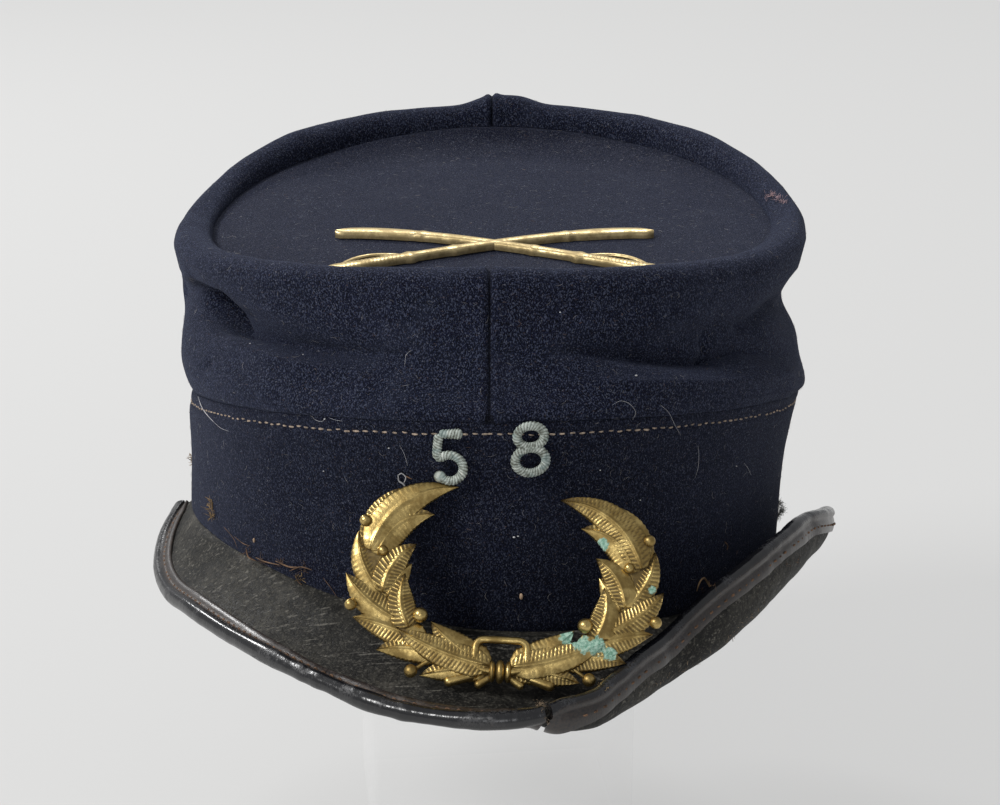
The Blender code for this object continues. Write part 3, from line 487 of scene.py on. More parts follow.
def folded(points, normals, folds):
    """How far folds that are placed by the picture press a surface in, in metres."""
    px, py = in_picture(points)
    facing_us = ((np.array(EYE) - points) * normals).sum(-1) > 0.0
    total = np.zeros(px.shape)
    for fold in folds:
        nearest = np.full(px.shape, 1e6)
        strength = np.zeros(px.shape)
        for (x0, y0, s0), (x1, y1, s1) in zip(fold["path"], fold["path"][1:]):
            dx, dy = x1 - x0, y1 - y0
            t = np.clip(((px - x0) * dx + (py - y0) * dy) / (dx * dx + dy * dy), 0.0, 1.0)
            away = np.hypot(px - x0 - t * dx, py - y0 - t * dy)
            closer = away < nearest
            nearest = np.where(closer, away, nearest)
            strength = np.where(closer, s0 + (s1 - s0) * t, strength)
        shape = 0.65 * bell(nearest, fold["wide"]) + 0.35 * bell(nearest, fold["wide"] * 0.4)
        total += fold["depth"] * strength * shape
    return total * facing_us


def tree_of(*objs):
    """A search tree over the faces of some pieces."""
    places, faces = [], []
    for obj in objs:
        start = len(places)
        places.extend(v.co.copy() for v in obj.data.vertices)
        faces.extend([start + i for i in p.vertices] for p in obj.data.polygons)
    return BVHTree.FromPolygons(places, faces)


def spot(tree, px, py, lift=0.0):
    """The point of a surface that shows at a place in the picture, raised along its normal, and that normal."""
    point, normal, _, _ = tree.ray_cast(EYE, line_of_sight(px, py))
    if point is None:
        return None, None
    if normal.dot(EYE - point) < 0:
        normal = -normal
    return point + normal * lift, normal


# ---- Materials
class Finish:
    """A material built node by node."""

    def __init__(self, name, **values):
        self.material = bpy.data.materials.new(name)
        self.material.use_nodes = True
        self.tree = self.material.node_tree
        self.shader = self.tree.nodes["Principled BSDF"]
        self.places = self.tree.nodes.new("ShaderNodeTexCoord").outputs["Object"]
        for key, value in values.items():
            self.put(self.shader, key, value)

    def put(self, node, key, value):
        """Set or link one input, named with spaces as underscores or by number."""
        socket = node.inputs[key] if isinstance(key, int) else node.inputs[key.replace("_", " ")]
        if isinstance(value, bpy.types.NodeSocket):
            self.tree.links.new(value, socket)
        elif socket.type == "RGBA" and isinstance(value, tuple) and len(value) == 3:
            socket.default_value = (*value, 1.0)
        else:
            socket.default_value = value

    def add(self, kind, settings=None, **inputs):
        node = self.tree.nodes.new("ShaderNode" + kind)
        for key, value in (settings or {}).items():
            setattr(node, key, value)
        for key, value in inputs.items():
            self.put(node, int(key[1:]) if key[0] == "_" and key[1:].isdigit() else key, value)
        return node

    def noise(self, scale, detail=2.0, roughness=0.5, stretch=None, turn=None, distortion=0.0, places=None):
        vector = places or self.places
        if stretch or turn:
            vector = self.add("Mapping", Vector=vector, Scale=stretch or (1.0, 1.0, 1.0),
                              Rotation=turn or (0.0, 0.0, 0.0)).outputs[0]
        return self.add("TexNoise", Vector=vector, Scale=scale, Detail=detail, Roughness=roughness,
                        Distortion=distortion).outputs[0]

    def ramp(self, value, *stops):
        node = self.add("ValToRGB", Fac=value)
        elements = node.color_ramp.elements
        while len(elements) < len(stops):
            elements.new(0.5)
        for element, (place, tone) in zip(elements, stops):
            element.position = place
            element.color = (*tone, 1.0) if isinstance(tone, tuple) else (tone, tone, tone, 1.0)
        return node.outputs[0]

    def math(self, operation, a, b):
        return self.add("Math", {"operation": operation}, _0=a, _1=b).outputs[0]

    def times(self, a, b):
        return self.math("MULTIPLY", a, b)

    def mix(self, share, a, b):
        return self.add("Mix", {"data_type": "RGBA"}, _0=share, _6=a, _7=b).outputs[2]

    def over(self, body, tone, where, share):
        """Lay a tone over a colour, as far as a mask and a share say."""
        return self.mix(self.times(where, share), body, tone)

    def spread(self, value, low, high, to_low=0.0, to_high=1.0):
        node = self.add("MapRange", {"interpolation_type": "SMOOTHSTEP"}, Value=value)
        for key, number in (("From Min", low), ("From Max", high), ("To Min", to_low), ("To Max", to_high)):
            node.inputs[key].default_value = number
        return node.outputs[0]

    def bump(self, height, distance, strength=1.0, under=None):
        inputs = {"Height": height, "Distance": distance, "Strength": strength}
        if under is not None:
            inputs["Normal"] = under
        return self.add("Bump", **inputs).outputs[0]

    def near(self, centre, reach):
        """1 at a place of the object, falling to 0 at a distance."""
        away = self.add("VectorMath", {"operation": "DISTANCE"}, _0=self.places, _1=centre).outputs["Value"]
        return self.spread(away, reach * 0.35, reach, 1.0, 0.0)

    def attribute(self, name):
        return self.add("Attribute", {"attribute_name": name}).outputs["Fac"]

    def finish(self, color=None, roughness=None, normal=None, metallic=None):
        values = {"Base Color": color, "Roughness": roughness, "Normal": normal, "Metallic": metallic}
        for key, value in values.items():
            if value is not None:
                self.put(self.shader, key, value)
        return self.material


def toned(tone, share):
    """A colour made darker or lighter."""
    return tuple(share * part for part in tone)


NAVY_DARK = (0.0005, 0.0007, 0.0026)
NAVY = (0.0110, 0.0145, 0.0370)
NAVY_DUST = (0.0400, 0.0470, 0.0760)
WOOL_GRAIN = 3000.0


def wool_finish(name, mid, dust, dust_share):
    """Fulled wool: a fine blue-black grain with pale fibre flecks and a film of dust."""
    f = Finish(name, Sheen_Weight=0.12, Sheen_Roughness=0.45, Sheen_Tint=(0.36, 0.42, 0.66),
               Specular_IOR_Level=0.10)
    fine = f.noise(WOOL_GRAIN * 1.5, 2.0, 0.6)
    lanes = f.noise(WOOL_GRAIN, 1.0, 0.6, stretch=(1.0, 1.0, 0.6), turn=(0.3, 0.5, 0.2))
    cloud = f.noise(38.0, 3.0, 0.55)
    patch = f.noise(150.0, 3.0, 0.6)
    body = f.mix(f.spread(fine, 0.47, 0.58), NAVY_DARK, mid)
    body = f.over(body, toned(dust, 1.25), f.spread(lanes, 0.53, 0.64), 0.95)
    film = f.times(f.spread(cloud, 0.42, 0.72), f.spread(patch, 0.35, 0.65))
    body = f.over(body, dust, film, dust_share)
    fleck = f.spread(f.noise(WOOL_GRAIN * 0.9, 1.0, 0.5, stretch=(1.0, 0.45, 1.0)), 0.66, 0.74)
    body = f.over(body, (0.150, 0.160, 0.200), fleck, 0.55)
    warm = f.spread(f.noise(WOOL_GRAIN * 0.8, 1.0, 0.5, stretch=(0.5, 1.0, 1.0)), 0.68, 0.76)
    body = f.over(body, (0.12, 0.085, 0.075), warm, 0.35)
    # Painted shade: a near-black line along the seams, standing in for the shade in the seam's groove.
    body = f.over(body, (0.0006, 0.0007, 0.0016), f.attribute("seam"), 0.85)
    rough = f.bump(f.noise(520.0, 3.0, 0.6), 0.00035, 0.35)
    normal = f.bump(fine, 0.00030, 0.75, rough)
    return f.finish(body, f.spread(fine, 0.3, 0.7, 0.84, 0.98), normal)


def leather_finish(name):
    """Old black leather gone grey-brown: crazed, scuffed and scratched."""
    f = Finish(name, Specular_IOR_Level=0.16)
    cloud = f.noise(55.0, 4.0, 0.6)
    grain = f.noise(1500.0, 3.0, 0.6)
    cells = f.add("TexVoronoi", {"feature": "DISTANCE_TO_EDGE"}, Vector=f.places, Scale=620.0).outputs[0]
    craze = f.spread(cells, 0.0, 0.12, 1.0, 0.0)
    body = f.ramp(cloud, (0.30, (0.005, 0.005, 0.005)), (0.45, (0.015, 0.0145, 0.013)), (0.60, (0.034, 0.032, 0.027)),
                  (0.74, (0.074, 0.067, 0.056)))
    body = f.over(body, (0.135, 0.126, 0.106), f.spread(grain, 0.50, 0.64), 0.42)
    pits = f.spread(f.noise(620.0, 3.0, 0.7), 0.40, 0.52, 1.0, 0.0)
    body = f.over(body, (0.007, 0.007, 0.007), pits, 0.65)
    body = f.over(body, (0.006, 0.0055, 0.005), craze, 0.20)
    marks = None
    for turn, scale, low in ((0.5, 800.0, 0.64), (-0.9, 700.0, 0.65), (2.2, 950.0, 0.65)):
        lane = f.noise(scale, 2.0, 0.5, stretch=(0.03, 1.0, 1.0), turn=(0.0, 0.0, turn), distortion=0.3)
        mark = f.spread(lane, low, low + 0.05)
        marks = mark if marks is None else f.math("MAXIMUM", marks, mark)
    body = f.mix(f.times(marks, f.spread(grain, 0.35, 0.6, 0.1, 0.60)), body, (0.170, 0.160, 0.138))
    height = f.math("ADD", f.times(grain, 0.5), f.times(craze, -0.22))
    normal = f.bump(height, 0.00020, 0.7, f.bump(f.noise(210.0, 3.0, 0.6), 0.0005, 0.4))
    return f.finish(body, f.spread(grain, 0.3, 0.7, 0.48, 0.76), normal)


def binding_finish(name, wear, wear_share, gloss):
    """Painted leather binding: glossy black, wrinkled across, worn through to brown and grey."""
    f = Finish(name, Specular_IOR_Level=0.70)
    wrinkle_places = f.add("CombineXYZ", X=f.attribute("along"), Y=f.attribute("across")).outputs[0]
    fine = f.noise(1500.0, 2.0, 0.6, stretch=(1.0, 0.16, 1.0), places=wrinkle_places)
    grain = f.noise(1900.0, 3.0, 0.6)
    cloud = f.noise(120.0, 4.0, 0.65)
    worn = f.times(f.spread(cloud, 0.48, 0.70), f.spread(grain, 0.36, 0.62))
    body = f.mix(f.times(worn, wear_share), (0.0055, 0.0055, 0.0065), wear)
    groove = f.attribute("groove")
    body = f.mix(f.times(groove, f.spread(grain, 0.30, 0.62)), body, (0.070, 0.045, 0.030))
    rub = f.spread(f.noise(700.0, 4.0, 0.7), 0.66, 0.74)
    body = f.over(body, (0.13, 0.10, 0.075), rub, 0.30)
    height = f.math("ADD", f.times(fine, 0.9), f.times(grain, 0.35))
    normal = f.bump(height, 0.00012, 0.45)
    low, high = gloss
    return f.finish(body, f.spread(f.math("ADD", worn, f.times(groove, 0.6)), 0.0, 0.6, low, high), normal)


def brass_finish(name, bright=(0.64, 0.47, 0.18), dull=(0.29, 0.20, 0.070), recess=(0.060, 0.038, 0.012),
                 green_spots=(), low=0.27, high=0.50):
    """Old gilt brass: bright on the ridges, brown in the recesses and wherever the relief is low, with green salts in
    a few places; the relief also carries painted shade of occlusion where parts of the casting stand close.
    """
    f = Finish(name)
    depth = f.attribute("relief")
    cloud = f.noise(260.0, 4.0, 0.65)
    grain = f.noise(1600.0, 3.0, 0.6)
    body = f.mix(f.spread(cloud, 0.34, 0.62), bright, dull)
    body = f.over(body, (0.20, 0.13, 0.06), f.spread(grain, 0.55, 0.75), 0.35)
    # Painted shade: the recess tone follows the relief, which also carries the occlusion shade where parts of the
    # casting stand close.
    shade = f.times(f.spread(depth, 0.05, 0.62, 1.0, 0.0), 0.86)
    body = f.mix(shade, body, recess)
    metal = f.spread(shade, 0.3, 0.9, 1.0, 0.45)
    rough = f.math("ADD", f.spread(cloud, 0.3, 0.7, low, high), f.times(shade, 0.25))
    greens = None
    for centre, reach in green_spots:
        here = f.near(centre, reach)
        greens = here if greens is None else f.math("MAXIMUM", greens, here)
    if greens is not None:
        patchy = f.spread(f.math("ADD", greens, f.times(f.noise(640.0, 4.0, 0.8), 2.2)), 1.62, 1.90)
        body = f.mix(patchy, body, f.mix(f.spread(grain, 0.3, 0.7), (0.13, 0.29, 0.21), (0.42, 0.60, 0.49)))
        metal = f.times(metal, f.math("SUBTRACT", 1.0, patchy))
        rough = f.math("MAXIMUM", rough, f.times(patchy, 0.9))
    normal = f.bump(grain, 0.00006, 0.7, f.bump(cloud, 0.00012, 0.5))
    return f.finish(body, rough, normal, metal)


def verdigris_finish(name):
    """Numerals under a grey-green crust, with the ribs rubbed paler."""
    f = Finish(name, Specular_IOR_Level=0.35)
    cloud = f.noise(900.0, 4.0, 0.7)
    grain = f.noise(2600.0, 3.0, 0.6)
    body = f.ramp(cloud, (0.30, (0.110, 0.115, 0.095)), (0.43, (0.290, 0.330, 0.290)), (0.56, (0.520, 0.580, 0.530)),
                  (0.72, (0.740, 0.760, 0.700)))
    hollow = f.times(f.spread(f.attribute("relief"), 0.40, 0.90, 0.92, 0.0),
                     f.spread(cloud, 0.30, 0.60, 1.0, 0.70))
    body = f.mix(hollow, body, (0.050, 0.042, 0.030))
    body = f.over(body, (0.62, 0.64, 0.58), f.spread(grain, 0.55, 0.72), 0.4)
    blue = f.spread(f.noise(330.0, 2.0, 0.5), 0.56, 0.68)
    body = f.over(body, (0.16, 0.26, 0.27), blue, 0.35)
    normal = f.bump(cloud, 0.00015, 0.8)
    return f.finish(body, 0.62, normal, 0.25)


def plain_finish(name, color, roughness=0.8, vary=0.4, scale=900.0, **values):
    """One tone with a fine variation, for threads and crumbs."""
    f = Finish(name, **values)
    tone = f.mix(f.spread(f.noise(scale, 2.0, 0.6), 0.3, 0.7), toned(color, 1 - vary), toned(color, 1 + vary))
    return f.finish(tone, roughness, f.bump(f.noise(scale * 3, 2.0, 0.5), 0.00005, 0.6))


def paint(obj, material):
    """One material all over a piece."""
    obj.data.materials.clear()
    obj.data.materials.append(material)
    return obj


def mark(obj, name, values):
    """Store one number for each point of a piece, for its material to read."""
    attribute = obj.data.attributes.get(name) or obj.data.attributes.new(name, "FLOAT", "POINT")
    attribute.data.foreach_set("value", np.asarray(values, np.float32).ravel())
    return obj


def places_of(obj):
    co = np.empty(len(obj.data.vertices) * 3, np.float32)
    obj.data.vertices.foreach_get("co", co)
    return co.reshape(-1, 3).astype(float)


def piece(obj, material, replaces=()):
    """Finish a piece: its material, its body and the solids that it stands for."""
    if material is not None:
        paint(obj, material)
    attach(obj, "root")
    if replaces:
        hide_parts(*replaces)
    return obj


# The crown, the band and the top take copies of one navy at different strengths. The band's and the top's darker
# copies are painted shade, toned to how dark those faces show under the lamps.
crown_wool = wool_finish("crown_wool", toned(NAVY, 0.88), toned(NAVY_DUST, 0.90), 0.26)
band_wool = wool_finish("band_wool", toned(NAVY, 0.66), toned(NAVY_DUST, 0.60), 0.12)
tip_wool = wool_finish("tip_wool", toned(NAVY, 0.80), (0.031, 0.033, 0.046), 0.26)


# ---- The cloth crown, its two halves
def crease_depth(angle, height):
    """How far the small folds of the crown press in or stand out, in metres, by angle and share of the rise."""
    depth = np.zeros(np.broadcast(angle, height).shape)
    for row in CREASES:
        along = math.radians(row["lean"])
        across = ((angle - row["angle"] + 180.0) % 360.0 - 180.0) / row["wide"]
        up = (height - row["height"]) / row["tall"]
        a = across * math.cos(along) + up * math.sin(along)
        b = -across * math.sin(along) + up * math.cos(along)
        depth += row["depth"] * np.exp(-(a ** 2) - (b ** 2))
    return depth


# Folds of the crown: place in degrees and share of the rise, half widths in the same units, lean in degrees, depth
# in metres; a negative depth stands out.
CREASES = table(
    "angle height wide tall lean depth",
    (-90.0, 0.36, 22.0, 0.16, 0.0, 0.0012), (-90.0, 0.60, 20.0, 0.10, 0.0, -0.0012),
    (96.0, 0.35, 24.0, 0.13, 0.0, -0.0022), (122.0, 0.52, 12.0, 0.06, 18.0, 0.0018),
    (155.0, 0.40, 16.0, 0.07, -12.0, 0.0013), (-128.0, 0.48, 15.0, 0.07, -15.0, 0.0019),
    (-158.0, 0.62, 12.0, 0.06, 10.0, 0.0011),
)

# Folds placed by the picture: points of each path with their strength, half width in the picture, and depth in
# metres; a negative depth stands out.
FOLDS = (
    {"path": ((212, 306, 1.0), (224, 316, 1.0), (233, 322, 0.7)), "wide": 11.0, "depth": 0.0042},
    {"path": ((192, 290, 0.6), (208, 303, 1.0), (232, 322, 1.0), (255, 333, 0.9), (285, 343, 0.9), (330, 351, 0.75),
              (400, 356, 0.35)), "wide": 11.0, "depth": 0.0052},
    {"path": ((235, 343, 0.6), (262, 355, 1.0), (300, 366, 0.9), (360, 374, 0.6)), "wide": 13.0, "depth": -0.0027},
    {"path": ((250, 305, 0.5), (300, 318, 1.0), (350, 324, 0.5)), "wide": 15.0, "depth": -0.0008},
    {"path": ((202, 367, 1.0), (210, 363, 1.0)), "wide": 4.0, "depth": 0.0012},
    {"path": ((190, 368, 1.0), (213, 386, 1.0), (240, 397, 0.6), (300, 409, 0.3)), "wide": 4.0, "depth": 0.0006},
    {"path": ((570, 352, 0.35), (640, 357, 0.95), (700, 360, 1.0), (722, 354, 1.0), (745, 348, 0.7), (780, 354, 0.3)),
     "wide": 11.0, "depth": 0.0046},
    {"path": ((703, 338, 0.7), (711, 348, 1.0), (716, 362, 0.8)), "wide": 5.0, "depth": 0.0022},
    {"path": ((775, 305, 1.0), (758, 318, 0.8), (740, 327, 0.5)), "wide": 7.5, "depth": 0.0030},
    {"path": ((740, 327, 0.4), (762, 340, 0.6), (792, 350, 0.3)), "wide": 6.0, "depth": 0.0011},
    {"path": ((560, 382, 0.4), (640, 386, 1.0), (720, 384, 1.0), (785, 374, 0.5)), "wide": 13.0, "depth": -0.0026},
    {"path": ((560, 330, 0.4), (640, 325, 0.8), (690, 318, 0.5)), "wide": 16.0, "depth": -0.0007},
)


def crown_grid(side, angles):
    """Points of one half from the band over the rim down to the sunken top, rows going up and over."""
    angle = side * np.asarray(angles)[None, :]
    base = band_top(angle)
    rise = rim_crest(angle) - base
    stations = np.arange(len(CROWN_RINGS), dtype=float)
    blends = [ring["blend"] for ring in CROWN_RINGS]
    ring_heights = np.array([around(ring["ring"] + "_height", angle[0]) for ring in CROWN_RINGS])
    ring_insets = np.array([around(ring["ring"] + "_inset", angle[0]) for ring in CROWN_RINGS]) * FOLD_DEPTH
    places = np.linspace(0.0, 3.0, CROWN_ROWS)
    heights = np.array([[cubic(stations, ring_heights[:, k], p) for k in range(angle.shape[1])] for p in places])
    insets = np.array([[cubic(stations, ring_insets[:, k], p) for k in range(angle.shape[1])] for p in places])
    spread = np.repeat(cubic(stations, blends, places)[:, None], angle.shape[1], axis=1)
    for _ in range(90):
        for values in (insets, heights, spread):
            values[1:-1] = (values[:-2] + 2 * values[1:-1] + values[2:]) / 4
    rows = []
    shares = []
    for height, inset, blend, place in zip(heights, insets, spread, places):
        for dent in CROWN_DENTS:
            across = (angle[0] - dent["angle"] + 180.0) % 360.0 - 180.0
            inset = inset + FOLD_DEPTH * dent["depth"] * np.exp(
                -(across / dent["wide"]) ** 2 - ((height - dent["height"]) / dent["tall"]) ** 2)
        curl = HEM_CURL * max(0.0, 1.0 - place / 0.10) ** 2
        x, y = on_plan(angle[0], blend, inset + crease_depth(angle[0], height) + curl)
        if not rows:
            hem_x, hem_y = on_plan(angle[0], blend, inset + HEM_TUCK)
            rows.append(np.stack([hem_x, hem_y, base[0] - HEM_TUCK], axis=-1))
            shares.append(height)
        rows.append(np.stack([x, y, base[0] + height * rise[0]], axis=-1))
        shares.append(height)
    radius = RIM_ROLL / 2
    crest = rim_crest(angle[0])
    leg_end = tip_edge(angle[0]) + CLEARANCE
    inner_drop = np.minimum(radius, crest - leg_end - RIM_LEG)
    for turn in np.linspace(0.0, 180.0, RIM_ROWS)[1:]:
        x, y = on_plan(angle[0], 1.0, radius * (1.0 - math.cos(math.radians(turn))))
        drop = radius if turn <= 90.0 else inner_drop
        rows.append(np.stack([x, y, crest - drop * (1.0 - math.sin(math.radians(turn)))], axis=-1))
        shares.append(np.ones_like(crest))
    for share in (0.5, 1.0):
        z = (crest - inner_drop) * (1 - share) + leg_end * share
        x, y = on_plan(angle[0], 1.0, RIM_ROLL)
        rows.append(np.stack([x, y, z], axis=-1))
        shares.append(np.ones_like(crest))
    return np.array(rows), np.array(shares)


def crown_angles():
    """Angles of one half, packed closer beside the seams at its two ends."""
    angles = []
    a = 0.0
    while a < 180.0 - 1e-6:
        angles.append(a)
        a += min(CROWN_STEP, 0.16 + min(a, 180.0 - a) * 0.28)
    angles[-1] = min(angles[-1], 180.0 - 0.08)
    return np.array(angles + [180.0])


def build_crown_half(name, side, node):
    angles = crown_angles()
    grid, shares = crown_grid(side, angles)
    normal = surface_normals(grid)
    outward = np.stack([grid[..., 0], grid[..., 1], np.zeros_like(grid[..., 0])], axis=-1)
    sign = np.sign((normal * outward).sum(-1)[8].mean())
    normal = normal * sign
    seam = np.minimum(angles, 180.0 - angles)[None, :] * math.radians(1.0) * BAND_HALF_LENGTH
    swell = (noise(grid, 28.0, 1) * 0.00055 + noise(grid, 75.0, 2) * 0.00028 + noise(grid, 190.0, 3) * 0.00010)
    swell = swell * step_up(seam, 0.0, 0.004) * step_up(shares, 0.0, 0.10)
    pucker = bell(seam, 0.0040) * (0.00035 * noise(grid * np.array([0.2, 0.2, 1.0]), 330.0, 5))
    gather = bell(shares - 0.10, 0.16) * noise(grid * np.array([1.0, 1.0, 0.25]), 150.0, 6) * 0.00028
    lips = -0.00075 * bell(seam, 0.0008) + 0.00030 * bell(seam - 0.0021, 0.0013)
    press = folded(grid, normal, FOLDS) * step_up(seam, 0.0, 0.010) * step_up(shares, 0.0, 0.06)
    grid = grid + normal * (swell + pucker + gather + lips - press)[..., None]
    turned_in = []
    for column in (0, -1):
        edge = grid[:, column]
        edge[:, 0] = side * SEAM_TOUCH
        inward = np.zeros_like(edge)
        inward[:, 1] = -np.sign(edge[:, 1])
        rim = edge[-RIM_INNER_ROWS:]
        to_core = rim[:-2].mean(axis=0) - rim
        inward[-RIM_INNER_ROWS:] = to_core / np.linalg.norm(to_core, axis=1, keepdims=True)
        inner = edge + inward * SEAM_STRIP
        inner[:, 0] = -side * SEAM_CROSS
        turned_in.append(inner[:, None])
    grid = np.concatenate([turned_in[0], grid, turned_in[1]], axis=1)
    obj = sheet(name, grid)
    # The seam mark carries painted shade: a thin near-black line along each seam.
    line = bell(np.concatenate([[[0.0]], seam, [[0.0]]], axis=1), 0.00042)
    mark(obj, "seam", np.broadcast_to(line, grid.shape[:2]))
    facing(obj, (0.0, 0.0, 0.13))
    walled(obj, CROWN_WALL * CLOTH_SHARE)
    smooth(obj, 50)
    return piece(obj, crown_wool, [node])


crown_left = build_crown_half("crown_left_cloth", -1, "crown_left")
crown_right = build_crown_half("crown_right_cloth", 1, "crown_right")


# ---- The band
def build_band():
    angles = np.linspace(0.0, 360.0, BAND_COLUMNS)
    near_top = np.arange(0.0, 0.0075, 0.00042)
    top = band_top(angles)
    foot = band_foot(angles)
    under_peak = step_up(-np.abs((angles + 180.0) % 360.0 - 180.0), -92.0, -84.0)
    deep = top - foot + 0.0011 * under_peak
    foot_inset = around("foot_inset", angles)
    edge_inset = around("edge_inset", angles)
    rows = []
    drops = []
    for k in range(len(near_top) + BAND_ROWS):
        if k < len(near_top):
            drop = np.full_like(angles, near_top[k])
        else:
            share = (k - len(near_top) + 1) / BAND_ROWS
            drop = near_top[-1] + (deep - near_top[-1]) * share
        share = 1.0 - drop / deep
        inset = (foot_inset + (edge_inset - foot_inset) * share ** 2) * FOLD_DEPTH
        inset = inset + 0.0003 * np.clip(1.0 - drop / 0.0010, 0.0, 1.0) ** 2
        inset = inset + 0.0006 * np.clip(1.0 - (deep - drop) / 0.0012, 0.0, 1.0) ** 2
        x, y = on_plan(angles, 0.0, inset)
        rows.append(np.stack([x, y, top - drop], axis=-1))
        drops.append(drop)
    grid = np.array(rows)
    drops = np.array(drops)
    normal = surface_normals(grid)
    if (normal[10, 0] * grid[10, 0]).sum() < 0:
        normal = -normal
    arc = np.radians(angles)[None, :] * BAND_MEAN_RADIUS
    run = (arc / STITCH_PITCH) % 1.0
    groove = -0.00030 * bell(drops - STITCH_DROP, 0.0007)
    dimple = -0.00030 * bell(drops - STITCH_DROP, 0.0010) * bell(np.minimum(run, 1 - run), 0.16)
    gather = noise(grid * np.array([1.0, 1.0, 0.35]), 170.0, 8) * 0.00018 * bell(drops - STITCH_DROP, 0.004)
    swell = noise(grid, 22.0, 9) * 0.0006 + noise(grid, 60.0, 10) * 0.00030 + noise(grid, 170.0, 11) * 0.00008
    swell = swell * step_up(drops, 0.0, 0.006)
    slack = -0.0007 * bell(drops - 0.016, 0.008) * (0.6 + 0.4 * noise(grid * np.array([1.0, 1.0, 0.2]), 18.0, 12))
    grid = grid + normal * (groove + dimple + gather + swell + slack)[..., None]
    grid[:, -1] = grid[:, 0]
    obj = sheet("band_cloth", grid)
    merged(obj, DOUBLES)
    facing(obj, (0.0, 0.0, 0.12))
    walled(obj, BAND_WALL * CLOTH_SHARE)
    smooth(obj, 60)
    return piece(obj, band_wool, ["band"])


band = build_band()


# ---- The sunken top
def build_tip():
    angles = np.linspace(0.0, 360.0, TIP_COLUMNS)
    inset = RIM_ROLL - CROWN_WALL * 0.65
    rim_x, rim_y = on_plan(angles, 1.0, inset)
    edge = tip_edge(angles)
    rows = []
    for share in np.concatenate([np.linspace(0.0, 0.9, 60), np.linspace(0.915, 1.0, 8)]):
        bend = min(max((share - TIP_FLAT) / (TIP_SHELF - TIP_FLAT), 0.0), 1.0) ** 2
        rows.append(np.stack([rim_x * share, rim_y * share, TIP_TOP + (edge - TIP_TOP) * bend], axis=-1))
    grid = np.array(rows)
    flat = np.minimum(1.0, np.linalg.norm(grid[..., :2], axis=-1) / 0.01)
    rise = noise(grid, 20.0, 21) * 0.00035 + noise(grid, 70.0, 22) * 0.00018
    grid[..., 2] += (np.abs(rise) + 0.00005) * flat
    grid[:, -1] = grid[:, 0]
    obj = sheet("tip_cloth", grid)
    merged(obj, DOUBLES)
    facing(obj, (0.0, 0.0, 0.10))
    walled(obj, TIP_WALL * TIP_SHARE)
    smooth(obj, 60)
    return piece(obj, tip_wool, ["crown_tip"])


tip = build_tip()


# ---- The leather peak
def outward(angles):
    """Horizontal outward direction of the band's oval."""
    x = np.sin(np.radians(angles)) / BAND_HALF_WIDTH
    y = -np.cos(np.radians(angles)) / BAND_HALF_LENGTH
    length = np.hypot(x, y)
    return x / length, y / length


class PeakShape:
    """The peak's upper face at a row of angles, measured inwards from its edge."""

    def __init__(self, angles, steps=72):
        self.angles = np.asarray(angles, float)
        stations = [row["angle"] for row in PEAK_SECTIONS]
        mid_reach, mid_rise, edge_reach, edge_rise = (
            cubic(stations, [row[key] for row in PEAK_SECTIONS], self.angles) * PEAK_REACH
            for key in ("mid_reach", "mid_rise", "edge_reach", "edge_rise"))
        t = np.linspace(1.0, 0.0, steps + 1)[:, None]
        reach = 2 * t * (1 - t) * (2 * mid_reach - edge_reach / 2) + t * t * edge_reach
        rise = 2 * t * (1 - t) * (2 * mid_rise - edge_rise / 2) + t * t * edge_rise
        x, y = on_plan(self.angles, 0.0, around("foot_inset", self.angles) * FOLD_DEPTH)
        out_x, out_y = outward(self.angles)
        foot = band_foot(self.angles) - CLEARANCE
        self.points = np.stack([x + out_x * reach, y + out_y * reach, foot + rise], axis=-1)
        strides = np.linalg.norm(np.diff(self.points, axis=0), axis=-1)
        self.walked = np.concatenate([np.zeros((1, len(self.angles))), np.cumsum(strides, axis=0)])
        self.length = self.walked[-1]

    def points_at(self, inward):
        points = np.empty(inward.shape + (3,))
        for k in range(inward.shape[1]):
            for axis in range(3):
                points[:, k, axis] = np.interp(inward[:, k], self.walked[:, k], self.points[:, k, axis])
        return points

    def at(self, inward):
        """Points, outward tangents and upward normals at distances in from the edge."""
        inward = np.broadcast_to(np.asarray(inward, float), (len(inward), len(self.angles)))
        points = self.points_at(np.maximum(inward, 0.0))
        reach = np.minimum(0.0012, self.length * 0.08)
        low = np.clip(inward, reach, self.length - reach)
        along = self.points_at(low - reach) - self.points_at(low + reach)
        along /= np.maximum(np.linalg.norm(along, axis=-1, keepdims=True), 1e-9)
        sideways = np.gradient(points, axis=1)
        normal = np.cross(along, sideways)
        normal /= np.maximum(np.linalg.norm(normal, axis=-1, keepdims=True), 1e-12)
        beyond = np.maximum(-inward, 0.0)[..., None]
        return points + along * beyond, along, normal


def even_angles(start, end, stride):
    """Angles from start to end about evenly spaced along the peak's edge."""
    rough = np.linspace(start, end, 400)
    edge = PeakShape(rough, 8).points[0]
    walked = np.concatenate([[0.0], np.cumsum(np.linalg.norm(np.diff(edge, axis=0), axis=-1))])
    count = int(walked[-1] / stride) + 1
    return np.interp(np.linspace(0.0, walked[-1], count), walked, rough), np.linspace(0.0, walked[-1], count)


def peak_crumple(points, angles):
    """Soft dents of the leather, strongest left of the middle where it has sagged."""
    sag = step_up(angles, -75.0, -35.0) * (1.0 - step_up(angles, 12.0, 40.0))
    soft = noise(points, 34.0, 31) * 0.0009 + noise(points, 90.0, 32) * 0.00045
    fine = noise(points, 260.0, 33) * 0.00014
    return (0.35 + 0.65 * sag) * soft + fine


